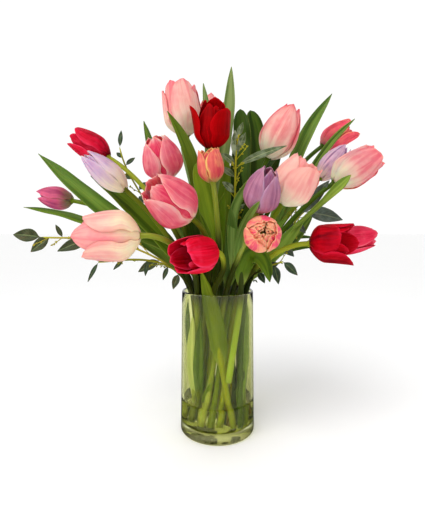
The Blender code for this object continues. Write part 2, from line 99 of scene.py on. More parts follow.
class Graph:
    """Short calls that add and link the nodes of one shader tree."""

    def __init__(self, tree: bpy.types.NodeTree) -> None:
        """Keeps the tree that the nodes go into."""
        self.tree = tree

    def node(self, kind: str, **settings: object) -> bpy.types.Node:
        """Adds one node.

        Args:
            kind: The node's type, without its ShaderNode prefix.
            settings: Values for the node's own settings.

        Returns:
            The new node.
        """
        made = self.tree.nodes.new("ShaderNode" + kind)
        for name, value in settings.items():
            setattr(made, name, value)
        return made

    def feed(self, socket: bpy.types.NodeSocket, value: object) -> None:
        """Links a socket, or sets its value where it is given a plain one.

        Args:
            socket: The input to feed.
            value: Another node's output, a number or a colour.
        """
        if isinstance(value, bpy.types.NodeSocket):
            self.tree.links.new(value, socket)
        elif isinstance(value, tuple) and len(value) == 3 and socket.type == "RGBA":
            socket.default_value = (*value, 1.0)
        else:
            socket.default_value = value

    def math(
        self, operation: str, a: object, b: object = 0.0, c: object = 0.0
    ) -> bpy.types.NodeSocket:
        """One sum on up to three values.

        Args:
            operation: The Math node's operation.
            a: First value.
            b: Second value.
            c: Third value, where the operation takes one.

        Returns:
            The result.
        """
        made = self.node("Math", operation=operation)
        for socket, value in zip(made.inputs, (a, b, c)):
            self.feed(socket, value)
        return made.outputs[0]

    def times(self, a: object, b: object) -> bpy.types.NodeSocket:
        """One value times another."""
        return self.math("MULTIPLY", a, b)

    def plus(self, a: object, b: object) -> bpy.types.NodeSocket:
        """One value plus another."""
        return self.math("ADD", a, b)

    def minus(self, a: object, b: object) -> bpy.types.NodeSocket:
        """One value less another."""
        return self.math("SUBTRACT", a, b)

    def ease(self, value: object, low: object, high: object) -> bpy.types.NodeSocket:
        """A smooth step from 0 at low to 1 at high.

        Args:
            value: The value to map.
            low: Where the step starts.
            high: Where it ends.

        Returns:
            The share, 0 to 1.
        """
        made = self.node("MapRange", interpolation_type="SMOOTHSTEP")
        self.feed(made.inputs["Value"], value)
        self.feed(made.inputs["From Min"], low)
        self.feed(made.inputs["From Max"], high)
        return made.outputs["Result"]

    def mix(self, share: object, a: object, b: object) -> bpy.types.NodeSocket:
        """Blends two colours.

        Args:
            share: How much of the second colour, 0 to 1.
            a: First colour.
            b: Second colour.

        Returns:
            The blend.
        """
        made = self.node("Mix", data_type="RGBA")
        self.feed(made.inputs[0], share)
        self.feed(made.inputs[6], a)
        self.feed(made.inputs[7], b)
        return made.outputs[2]

    def noise(self, vector: object, scale: float, detail: float = 3.0) -> bpy.types.NodeSocket:
        """Soft noise.

        Args:
            vector: Where the noise is read.
            scale: How fine it is.
            detail: How many finer layers it has.

        Returns:
            The noise, about 0.5.
        """
        made = self.node("TexNoise")
        self.feed(made.inputs["Vector"], vector)
        made.inputs["Scale"].default_value = scale
        made.inputs["Detail"].default_value = detail
        return made.outputs["Fac"]

    def vector(self, x: object, y: object, z: object = 0.0) -> bpy.types.NodeSocket:
        """Three values as one vector.

        Args:
            x: First value.
            y: Second value.
            z: Third value.

        Returns:
            The vector.
        """
        made = self.node("CombineXYZ")
        for socket, value in zip(made.inputs, (x, y, z)):
            self.feed(socket, value)
        return made.outputs[0]

    def split(self, vector: bpy.types.NodeSocket) -> list[bpy.types.NodeSocket]:
        """The three values of a vector.

        Args:
            vector: The vector to take apart.

        Returns:
            Its x, y and z.
        """
        made = self.node("SeparateXYZ")
        self.feed(made.inputs[0], vector)
        return list(made.outputs)

    def blade_place(self) -> tuple[bpy.types.NodeSocket, ...]:
        """Where a point lies on its blade.

        Returns:
            Along the blade 0..1, across it 0..1, distance from its middle line 0..1,
            and the blade's own seed.
        """
        along, across, _ = self.split(self.node("UVMap", uv_map=UV).outputs[0])
        off = self.times(self.math("ABSOLUTE", self.minus(across, 0.5)), 2.0)
        seed = self.node("Attribute", attribute_name=SEED).outputs["Fac"]
        return along, across, off, seed

    def heart_shade(self, colour: object, share: object, reach: float) -> bpy.types.NodeSocket:
        """Paints shade into what stands in the dense heart of the bunch, just above the rim, where the
        blooms above and the stems around shade it.

        Args:
            colour: The colour to darken.
            share: How much it darkens, 0 to 1.
            reach: How far from the vase's axis it reaches, in metres.

        Returns:
            The colour.
        """
        x, y, z = self.split(self.node("TexCoord").outputs["Object"])
        squares = self.plus(self.times(x, x), self.times(y, y))
        heart = self.ease(self.math("SQRT", squares), reach, reach - HEART_SHADE_EDGE)
        for outside, inside in HEART_SHADE_HEIGHTS:
            heart = self.times(heart, self.ease(z, outside, inside))
        # Mixes the colour towards the dark colour of the painted shade.
        return self.mix(self.times(heart, share), colour, HEART_SHADE_GREEN)

    def streaks(self, along: object, across: object, seed: object, fine: float) -> bpy.types.NodeSocket:
        """Noise drawn out along a blade.

        Args:
            along: Place along the blade.
            across: Place across the blade.
            seed: The blade's own seed.
            fine: How many streaks go across.

        Returns:
            The noise.
        """
        x = self.math("MULTIPLY_ADD", along, 1.4, self.times(seed, 7.3))
        y = self.times(across, fine)
        return self.noise(self.vector(x, y, self.times(seed, 31.0)), 1.0, 4.0)


def new_group(name: str, colours: Sequence[str], values: dict[str, float]) -> tuple:
    """A node group that puts out a colour, a height and a roughness.

    Args:
        name: The group's name.
        colours: Names of its colour inputs.
        values: Names and defaults of its number inputs.

    Returns:
        The tree, its Graph, its inputs by name, and its output node.
    """
    tree = bpy.data.node_groups.new(name, "ShaderNodeTree")
    for label in colours:
        tree.interface.new_socket(label, in_out="INPUT", socket_type="NodeSocketColor")
    for label, value in values.items():
        made = tree.interface.new_socket(label, in_out="INPUT", socket_type="NodeSocketFloat")
        made.default_value = value
    tree.interface.new_socket("Color", in_out="OUTPUT", socket_type="NodeSocketColor")
    for label in ("Height", "Roughness"):
        tree.interface.new_socket(label, in_out="OUTPUT", socket_type="NodeSocketFloat")
    graph = Graph(tree)
    source = tree.nodes.new("NodeGroupInput")
    inputs = {socket.name: socket for socket in source.outputs if socket.name}
    return tree, graph, inputs, tree.nodes.new("NodeGroupOutput")


PETAL_NUMBERS = (
    "Root Reach", "Flame Strength", "Edge Width", "Edge Strength", "Inner Depth", "Rim Light",
)


def petal_markings() -> bpy.types.NodeTree:
    """The colour of a tulip petal: pale root, streaked body, flamed middle, tinted rim, and a painted
    highlight along the very edge.

    A seed over 1 marks a petal of an inner ring, which is deeper in colour.

    Returns:
        The node group.
    """
    tree, g, given, out = new_group(
        "petal_markings",
        ("Root", "Body", "Flame", "Edge"),
        dict.fromkeys(PETAL_NUMBERS, 0.3),
    )
    along, across, off, seed = g.blade_place()
    broad = g.streaks(along, across, seed, 8.0)
    fine = g.streaks(along, across, seed, 55.0)
    cloud = g.noise(g.node("TexCoord").outputs["Object"], 75.0, 2.0)
    shift = g.minus(broad, 0.5)
    flame = g.times(g.ease(broad, 0.4, 0.62), g.minus(1.15, off))
    flame = g.plus(flame, g.times(g.ease(cloud, 0.45, 0.7), 0.35))
    flame = g.times(flame, given["Flame Strength"])
    inner = g.times(g.ease(seed, 0.99, 1.01), given["Inner Depth"])
    own = g.times(g.math("FRACT", g.times(seed, 5.7)), 0.22)
    deep = g.math("MINIMUM", g.plus(g.plus(flame, inner), own), 1.0)
    colour = g.mix(deep, given["Body"], given["Flame"])
    toward_tip = g.times(g.minus(along, 0.55), 2.1)
    rim = g.plus(g.math("MAXIMUM", off, toward_tip), g.times(shift, 0.7))
    rim = g.ease(rim, g.minus(1.0, given["Edge Width"]), 1.08)
    colour = g.mix(g.times(rim, given["Edge Strength"]), colour, given["Edge"])
    from_root = g.plus(along, g.times(shift, 0.35))
    reach = g.times(given["Root Reach"], g.minus(1.0, g.times(inner, 0.5)))
    colour = g.mix(g.ease(from_root, reach, 0.0), colour, given["Root"])
    vein = g.times(g.ease(fine, 0.5, 0.72), 0.3)
    colour = g.mix(vein, colour, given["Flame"])
    pale = g.plus(g.ease(fine, 0.5, 0.3), g.ease(cloud, 0.5, 0.3))
    pale = g.times(pale, 0.2)
    colour = g.mix(pale, colour, given["Edge"])
    # Painted highlight: a thin band along the sides and tip, lightened towards the Root colour by Rim
    # Light.
    rim_highlight = g.times(g.ease(g.math("MAXIMUM", off, along), 0.95, 1.0), given["Rim Light"])
    colour = g.mix(rim_highlight, colour, given["Root"])
    g.feed(out.inputs["Color"], colour)
    height = g.plus(g.times(broad, 0.8), g.times(fine, 0.35))
    g.feed(out.inputs["Height"], height)
    g.feed(out.inputs["Roughness"], g.math("MULTIPLY_ADD", fine, 0.25, 0.36))
    return tree


def leaf_veins() -> bpy.types.NodeTree:
    """The colour of a tulip leaf: parallel veins, a paler sheath, a waxy cast, and painted shade on
    low-seeded leaves and in the heart of the bunch.

    Returns:
        The node group.
    """
    tree, g, given, out = new_group(
        "leaf_veins",
        ("Deep", "Light", "Sheath"),
        {"Sheath Reach": 0.25, "Vein Strength": 0.2, "Heart Shade": 0.6},
    )
    along, across, off, seed = g.blade_place()
    broad = g.streaks(along, across, seed, 3.4)
    fine = g.streaks(along, across, seed, 46.0)
    colour = g.mix(g.ease(broad, 0.28, 0.74), given["Deep"], given["Light"])
    lines = g.times(g.ease(fine, 0.48, 0.66), given["Vein Strength"])
    colour = g.mix(lines, colour, given["Light"])
    # A low seed darkens the leaf towards Deep. On most leaves this is a random darker tone; on the heart
    # leaves it is painted shade.
    shade = g.times(g.ease(seed, 0.7, 0.0), 0.75)
    colour = g.mix(shade, colour, given["Deep"])
    rib = g.times(g.ease(off, 0.07, 0.0), 0.35)
    colour = g.mix(rib, colour, given["Light"])
    rim = g.times(g.ease(off, 0.94, 1.0), 0.3)
    colour = g.mix(rim, colour, given["Sheath"])
    from_root = g.plus(along, g.times(g.minus(broad, 0.5), 0.3))
    colour = g.mix(g.ease(from_root, given["Sheath Reach"], 0.0), colour, given["Sheath"])
    # Painted shade in the dense heart of the bunch.
    colour = g.heart_shade(colour, given["Heart Shade"], 0.05)
    g.feed(out.inputs["Color"], colour)
    height = g.minus(fine, g.times(g.ease(off, 0.06, 0.0), 0.5))
    g.feed(out.inputs["Height"], height)
    g.feed(out.inputs["Roughness"], g.math("MULTIPLY_ADD", broad, 0.3, 0.24))
    return tree


def stalk_streaks() -> bpy.types.NodeTree:
    """The colour of a stalk: fine streaks, paler low down, tinted at the top, with painted shade in the
    heart of the bunch.

    Returns:
        The node group.
    """
    tree, g, given, out = new_group(
        "stalk_streaks",
        ("Green", "Low", "Top"),
        {"Low Height": 0.13, "Top Share": 0.93, "Heart Shade": 0.9},
    )
    along, across, _, seed = g.blade_place()
    where = g.node("TexCoord").outputs["Object"]
    height = g.split(where)[2]
    blotch = g.noise(where, 60.0, 2.0)
    fine = g.streaks(g.times(along, 6.0), across, seed, 18.0)
    low = g.ease(g.plus(height, g.times(blotch, 0.08)), given["Low Height"], 0.03)
    colour = g.mix(low, given["Green"], given["Low"])
    dark = g.times(g.ease(blotch, 0.5, 0.72), 0.35)
    colour = g.mix(dark, colour, given["Green"])
    colour = g.mix(g.times(g.ease(fine, 0.5, 0.7), 0.4), colour, given["Low"])
    colour = g.mix(g.ease(along, given["Top Share"], 1.0), colour, given["Top"])
    # Painted shade in the dense heart of the bunch.
    colour = g.heart_shade(colour, given["Heart Shade"], 0.08)
    g.feed(out.inputs["Color"], colour)
    g.feed(out.inputs["Height"], fine)
    g.feed(out.inputs["Roughness"], g.math("MULTIPLY_ADD", blotch, 0.3, 0.2))
    return tree


def waxy_blade() -> bpy.types.NodeTree:
    """The colour of a eucalyptus leaf: a pale rib, side veins and a waxy bloom.

    Returns:
        The node group.
    """
    tree, g, given, out = new_group("waxy_blade", ("Deep", "Wax", "Rib"), {"Wax Share": 0.5})
    along, _, off, seed = g.blade_place()
    cloud = g.noise(g.node("TexCoord").outputs["Object"], 140.0, 4.0)
    own = g.minus(1.3, seed)
    wax = g.times(g.times(g.ease(cloud, 0.35, 0.68), own), given["Wax Share"])
    colour = g.mix(wax, given["Deep"], given["Wax"])
    slant = g.minus(g.times(along, 62.0), g.times(off, 17.0))
    side = g.math("SINE", g.plus(slant, g.times(cloud, 5.0)))
    side = g.ease(side, 0.82, 1.0)
    colour = g.mix(g.times(side, 0.3), colour, given["Rib"])
    rib = g.ease(off, 0.13, 0.02)
    colour = g.mix(g.times(rib, 0.8), colour, given["Rib"])
    rim = g.times(g.ease(off, 0.9, 1.0), 0.35)
    colour = g.mix(rim, colour, given["Rib"])
    g.feed(out.inputs["Color"], colour)
    g.feed(out.inputs["Height"], g.minus(g.times(side, -0.3), rib))
    g.feed(out.inputs["Roughness"], g.math("MULTIPLY_ADD", cloud, 0.3, 0.35))
    return tree


class Markings(Enum):
    """The node groups that more than one material uses."""

    PETAL = "petal_markings"
    LEAF = "leaf_veins"
    STALK = "stalk_streaks"
    WAXY = "waxy_blade"

    def tree(self) -> bpy.types.NodeTree:
        """The group's tree, built the first time it is asked for."""
        builders = {
            Markings.PETAL: petal_markings,
            Markings.LEAF: leaf_veins,
            Markings.STALK: stalk_streaks,
            Markings.WAXY: waxy_blade,
        }
        return bpy.data.node_groups.get(self.value) or builders[self]()


def settings(finish: object, labels: Sequence[str]) -> dict[str, object]:
    """A finish's own values, under the names of a group's inputs.

    Args:
        finish: The finish that holds them.
        labels: The inputs' names, which are its fields' names in plain writing.

    Returns:
        The values by name.
    """
    return {label: getattr(finish, label.lower().replace(" ", "_")) for label in labels}


RELIEF_STRENGTH = 0.6
SKIN_DEPTH = 2.5 * MM


def plant_material(
    name: str,
    markings: Markings,
    inputs: dict[str, object],
    relief: float,
    glow: float,
    shine: float = 0.14,
) -> bpy.types.Material:
    """A living surface: one group's colours, relief and roughness on a Principled shader.

    Args:
        name: The material's name.
        markings: Which group draws it.
        inputs: Colours and numbers for the group's inputs.
        relief: Depth of its relief, in metres.
        glow: How much light passes under the skin, 0 to 1.
        shine: How strongly the skin reflects, 0 to 1.

    Returns:
        The material.
    """
    made = bpy.data.materials.new(name)
    made.use_nodes = True
    graph = Graph(made.node_tree)
    shader = made.node_tree.nodes["Principled BSDF"]
    drawn = graph.node("Group", node_tree=markings.tree())
    for label, value in inputs.items():
        graph.feed(drawn.inputs[label], value)
    bump = graph.node("Bump")
    bump.inputs["Strength"].default_value = RELIEF_STRENGTH
    bump.inputs["Distance"].default_value = relief
    graph.feed(bump.inputs["Height"], drawn.outputs["Height"])
    graph.feed(shader.inputs["Base Color"], drawn.outputs["Color"])
    graph.feed(shader.inputs["Roughness"], drawn.outputs["Roughness"])
    graph.feed(shader.inputs["Normal"], bump.outputs["Normal"])
    shader.inputs["Subsurface Weight"].default_value = glow
    shader.inputs["Subsurface Scale"].default_value = SKIN_DEPTH
    shader.inputs["Specular IOR Level"].default_value = shine
    return made


@dataclass(frozen=True)
class PetalFinish:
    """Colours of one bloom's petals."""

    root: Colour
    body: Colour
    flame: Colour
    edge: Colour
    heart: Colour
    root_reach: float = 0.3
    flame_strength: float = 0.6
    edge_width: float = 0.3
    edge_strength: float = 0.8
    inner_depth: float = 0.35
    rim_light: float = 0.3
    glow: float = 0.3
    shine: float = 0.12

    def material(self, name: str) -> bpy.types.Material:
        """The petals' outer face.

        Args:
            name: The bloom's name.

        Returns:
            The material.
        """
        colours = ("Root", "Body", "Flame", "Edge")
        inputs = settings(self, (*colours, *PETAL_NUMBERS))
        return plant_material(name, Markings.PETAL, inputs, 0.5 * MM, self.glow, self.shine)

    def inner(self, name: str) -> bpy.types.Material:
        """The petals' inner face, deeper towards the heart."""
        inside = replace(self, root=self.heart, root_reach=max(self.root_reach, 0.6))
        return inside.material(name)


@dataclass(frozen=True)
class GreenFinish:
    """Colours of one tulip's stalk and leaves."""

    deep: Colour = tone(40, 68, 6)
    light: Colour = tone(98, 126, 22)
    sheath: Colour = tone(150, 166, 72)
    stalk: Colour = tone(98, 118, 16)
    low: Colour = tone(126, 140, 32)
    top: Colour = tone(140, 156, 48)
    sheath_reach: float = 0.22

    def leaf(self, name: str) -> bpy.types.Material:
        """The leaves' material."""
        inputs = settings(self, ("Deep", "Light", "Sheath", "Sheath Reach"))
        return plant_material(name, Markings.LEAF, inputs, 0.35 * MM, 0.12)

    def stem(self, name: str) -> bpy.types.Material:
        """The stalk's material."""
        inputs = {"Green": self.stalk, "Low": self.low, "Top": self.top}
        return plant_material(name, Markings.STALK, inputs, 0.3 * MM, 0.15)


@dataclass(frozen=True)
class SprayFinish:
    """Colours of one eucalyptus spray."""

    deep: Colour = tone(40, 58, 40)
    wax: Colour = tone(84, 106, 84)
    rib: Colour = tone(118, 134, 86)
    twig: Colour = tone(132, 134, 28)
    twig_low: Colour = tone(140, 112, 40)
    bud: Colour = tone(178, 176, 44)
    wax_share: float = 0.55

    def leaf(self, name: str) -> bpy.types.Material:
        """The leaves' material."""
        inputs = settings(self, ("Deep", "Wax", "Rib", "Wax Share"))
        return plant_material(name, Markings.WAXY, inputs, 0.25 * MM, 0.06)

    def stem(self, name: str) -> bpy.types.Material:
        """The twig's material."""
        inputs = {"Green": self.twig, "Low": self.twig_low, "Top": self.bud}
        return plant_material(name, Markings.STALK, inputs, 0.2 * MM, 0.05)


@dataclass(frozen=True)
class ClearFinish:
    """A clear body that lets the light of lamps straight through. Its tint holds painted shade where the
    body is seen at a slant and in its thick foot.
    """

    tint: Colour
    refraction: float
    waviness: float
    wave_scale: float
    # Tints of the painted shade: one where the surface is seen at a slant, one low in the thick foot.
    slant_shade_tint: Colour
    foot_shade_tint: Colour
    shine: float = 0.06

    def material(self, name: str) -> bpy.types.Material:
        """The clear material.

        Args:
            name: The material's name.

        Returns:
            The material.
        """
        made = bpy.data.materials.new(name)
        made.use_nodes = True
        graph = Graph(made.node_tree)
        shader = made.node_tree.nodes["Principled BSDF"]
        shader.inputs["Transmission Weight"].default_value = 1.0
        shader.inputs["IOR"].default_value = self.refraction
        where = graph.node("TexCoord").outputs["Object"]
        waves = graph.noise(where, self.wave_scale, 1.0)
        # Painted shade: the tint darkens low in the thick foot, standing in for the dark lines that thick
        # glass shows.
        thick = graph.ease(graph.split(where)[2], VASE_FLOOR, VASE_FLOOR * 0.4)
        # Painted shade: a darker, greener tint where the surface is seen at a slant, standing in for the
        # dark edges of the glass.
        slant = graph.node("LayerWeight")
        slant.inputs["Blend"].default_value = 0.5
        edge = graph.ease(slant.outputs["Facing"], 0.3, 0.65)
        tint = graph.mix(edge, self.tint, self.slant_shade_tint)
        tint = graph.mix(thick, tint, self.foot_shade_tint)
        graph.feed(shader.inputs["Base Color"], tint)
        shader.inputs["Roughness"].default_value = 0.0
        shader.inputs["Specular IOR Level"].default_value = self.shine
        bump = graph.node("Bump")
        bump.inputs["Strength"].default_value = 0.4
        bump.inputs["Distance"].default_value = self.waviness
        graph.feed(bump.inputs["Height"], waves)
        graph.feed(shader.inputs["Normal"], bump.outputs["Normal"])
        through = graph.node("BsdfTransparent")
        graph.feed(through.inputs["Color"], self.tint)
        choose = graph.node("MixShader")
        graph.feed(choose.inputs[0], graph.node("LightPath").outputs["Is Shadow Ray"])
        graph.feed(choose.inputs[1], shader.outputs["BSDF"])
        graph.feed(choose.inputs[2], through.outputs["BSDF"])
        output = made.node_tree.nodes["Material Output"]
        graph.feed(output.inputs["Surface"], choose.outputs["Shader"])
        return made


# ---- layout -----------------------------------------------------------------
VASE_HEIGHT = 200 * MM
VASE_BASE_RADIUS = 52.5 * MM
VASE_RIM_RADIUS = 49.5 * MM
VASE_WALL = 3.5 * MM
VASE_FLOOR = 14 * MM
WATER_TOP = 47 * MM
FOOT_Z = 15.5 * MM

STEM_FOOT_RADIUS = 4.3 * MM
STEM_TOP_RADIUS = 3.1 * MM
TWIG_FOOT_RADIUS = 1.7 * MM
TWIG_TOP_RADIUS = 1.2 * MM

INNER_ROOT = 3.2 * MM
OUTER_ROOT = 5.0 * MM
HEART_ROOT = 1.4 * MM
PETAL_ROOT_HEIGHT = 2.5 * MM
BELLY = 0.42
WHORL_GAP = 3.4 * MM
PHASES = (0, 6.28)

# How far above the stalk each ring of the pistil stands, and its radius, in millimetres.
PISTIL = (
    (1.2, 3.7), (2.4, 4.7), (3.8, 5.2), (6, 4), (9, 2.2), (14.5, 1.9), (16, 2.8), (17.5, 2.9), (18.3, 2),
)
# How far above the stalk's top and out from its middle a stamen's thread runs, and how
# thick it is there, in millimetres.
STAMEN = ((4, 2, 0.7), (8, 3.2, 0.6), (12, 3.9, 0.4))
STAMENS = 6
ANTHER_COLOURS = {"Green": tone(70, 50, 58), "Low": tone(128, 108, 84), "Top": tone(60, 40, 52)}
# Shares of a bud twig's length, with the radius of the twig there in millimetres.
BUD_TWIG = ((0, 0.65), (0.25, 0.6), (0.5, 0.5), (0.75, 0.45), (1, 0.4))
# Shares of a bud twig's length where buds sit, and how many sit there.
BUDS = ((0.5, 2), (0.78, 2), (1.0, 3))

RED = PetalFinish(
    root=tone(96, 6, 10),
    body=tone(178, 0, 10),
    flame=tone(112, 0, 6),
    edge=tone(200, 16, 36),
    heart=tone(46, 0, 4),
    root_reach=0.14,
    rim_light=0.0,
    glow=0.03,
    shine=0.03,
)
BLUSH = PetalFinish(
    root=tone(255, 246, 214),
    body=tone(250, 188, 174),
    flame=tone(236, 122, 128),
    edge=tone(234, 104, 114),
    heart=tone(246, 190, 160),
    root_reach=0.52,
    flame_strength=0.55,
    inner_depth=0.5,
    rim_light=0.0,
    glow=0.25,
)
ROSE = PetalFinish(
    root=tone(250, 224, 194),
    body=tone(241, 116, 129),
    flame=tone(216, 50, 86),
    edge=tone(251, 186, 178),
    heart=tone(255, 90, 120),
    root_reach=0.24,
    flame_strength=0.75,
    edge_width=0.34,
    inner_depth=0.45,
    rim_light=0.2,
    glow=0.6,
)
LILAC = PetalFinish(
    root=tone(226, 196, 178),
    body=tone(178, 130, 164),
    flame=tone(126, 72, 122),
    edge=tone(196, 154, 184),
    heart=tone(156, 102, 140),
)
PLUM = PetalFinish(
    root=tone(112, 110, 74),
    body=tone(218, 98, 130),
    flame=tone(136, 30, 82),
    edge=tone(228, 110, 140),
    heart=tone(110, 20, 60),
    root_reach=0.34,
)
CORAL = PetalFinish(
    root=tone(160, 150, 80),
    body=tone(236, 122, 108),
    flame=tone(208, 62, 78),
    edge=tone(254, 208, 116),
    heart=tone(246, 150, 62),
    root_reach=0.22,
    flame_strength=0.75,
    edge_width=0.2,
    edge_strength=0.95,
)


@dataclass(frozen=True)
class Petal:
    """One petal of a bloom, seen with the bloom's foot down.

    It faces left at a turn of 0, forwards at 90, right at 180 and backwards at 270. Its
    reach is a share of the bloom's length, its tip radius a share of its belly's. Its width
    is half the angle that it covers, in degrees. It narrows by its taper towards the tip and
    leaves the bloom by its peel, as a share of the belly. Ring 1 is the outer one, ring 0
    stands inside it, and rings 2 and 3 are the heart of a double bloom.
    """

    ring: int
    turn: float
    reach: float = 1.0
    tip: float = 0.6
    width: float = 56.0
    taper: float = 0.15
    peel: float = 0.0


@dataclass(frozen=True)
class Head:
    """One bloom, in millimetres: its foot, its tip, its belly's radius and its finish.

    Its ruffle is how far its edges wave and its lip how far its tips turn out. Its shoulder
    is the share of its length where the petals begin to close.
    """

    foot: Triple
    tip: Triple
    radius: float
    finish: PetalFinish
    ruffle: float
    lip: float
    petals: tuple[Petal, ...]
    shoulder: float = 0.6


def ring_of(opening: Opening, turn: float, taper: float = 0.15) -> tuple[Petal, ...]:
    """Three outer and three inner petals set evenly round a bloom.

    Args:
        opening: How far the bloom has opened.
        turn: The way its first outer petal faces, in degrees.
        taper: How much its petals narrow towards their tips.

    Returns:
        The six petals.
    """
    share = opening.value
    outer = [Petal(1, turn + i * 120, 1.0, share, taper=taper) for i in range(3)]
    inner = [Petal(0, turn + 60 + i * 120, 0.96, share, taper=taper) for i in range(3)]
    return (*outer, *inner)


def hearts(turn: float, share: float) -> tuple[Petal, ...]:
    """The two extra rings of a double bloom, round its heart.

    Args:
        turn: The way the first of them faces, in degrees.
        share: How far their tips stand out.

    Returns:
        The petals.
    """
    near = [Petal(2, turn + i * 120, 0.9, share, 50, 0.1) for i in range(3)]
    last = [Petal(3, turn + 60 + i * 120, 0.84, share, 50, 0.1) for i in range(3)]
    return (*near, *last)


PALE_GREEN = GreenFinish(
    light=tone(120, 144, 36), stalk=tone(134, 148, 44), low=tone(186, 192, 124)
)
OLIVE_GREEN = GreenFinish(stalk=tone(96, 106, 16), low=tone(112, 122, 26), top=tone(150, 158, 46))
DEEP_GREEN = GreenFinish(
    deep=tone(28, 52, 4), light=tone(70, 100, 16), stalk=tone(62, 88, 12), low=tone(78, 100, 20)
)
YELLOW_GREEN = GreenFinish(
    deep=tone(92, 114, 10), light=tone(138, 156, 28), stalk=tone(146, 154, 34), low=tone(150, 160, 44),
    top=tone(168, 172, 52),
)
LIGHT_GREEN = GreenFinish(deep=tone(62, 96, 24), light=tone(116, 148, 54))
GREY_GREEN = GreenFinish(deep=tone(84, 112, 50), light=tone(140, 158, 92))
CUT_GREEN = GreenFinish(stalk=tone(160, 184, 76), low=tone(168, 190, 88), top=tone(122, 150, 54))
GREENS: dict[str, GreenFinish] = {
    "red_left": replace(YELLOW_GREEN, deep=tone(54, 82, 12), light=tone(96, 124, 26)),
    "blush_left": replace(PALE_GREEN, deep=tone(168, 184, 112), light=tone(214, 222, 174)),
    "lilac_left": OLIVE_GREEN,
    "rose_front": OLIVE_GREEN,
    "red_front": YELLOW_GREEN,
    "red_right": YELLOW_GREEN,
    "coral_front": CUT_GREEN,
    "coral_centre": replace(PALE_GREEN, deep=tone(88, 116, 14), light=tone(132, 156, 34)),
    "lilac_mid": replace(PALE_GREEN, deep=tone(70, 102, 30), light=tone(132, 160, 78)),
    "rose_right": replace(DEEP_GREEN, deep=tone(86, 120, 34), light=tone(142, 170, 66)),
    "lilac_right": replace(LIGHT_GREEN, deep=tone(52, 84, 24)),
    "blush_right": DEEP_GREEN,
    "coral_right": DEEP_GREEN,
    "red_far": DEEP_GREEN,
    "blush_top": replace(OLIVE_GREEN, deep=tone(66, 92, 14), light=tone(112, 138, 36)),
    "blush_back": GREY_GREEN,
    "plum_left": LIGHT_GREEN,
}
SILVERY = SprayFinish(
    deep=tone(74, 92, 56), wax=tone(164, 178, 148), rib=tone(168, 180, 126), wax_share=0.95,
    twig=tone(176, 172, 36), bud=tone(214, 204, 56),
)
BLUISH = SprayFinish(
    deep=tone(68, 82, 72), wax=tone(122, 136, 126), rib=tone(116, 130, 100), bud=tone(214, 196, 30)
)
RUSSET = SprayFinish(deep=tone(52, 62, 38), wax=tone(92, 92, 62), twig=tone(172, 160, 52))
BUD_TWIGS = {"eucalyptus_centre": 16, "eucalyptus_right": 18, "eucalyptus_left": 9}
SPRAYS: dict[str, SprayFinish] = {
    "eucalyptus_centre": SILVERY, "eucalyptus_left": RUSSET, "eucalyptus_right": BLUISH
}

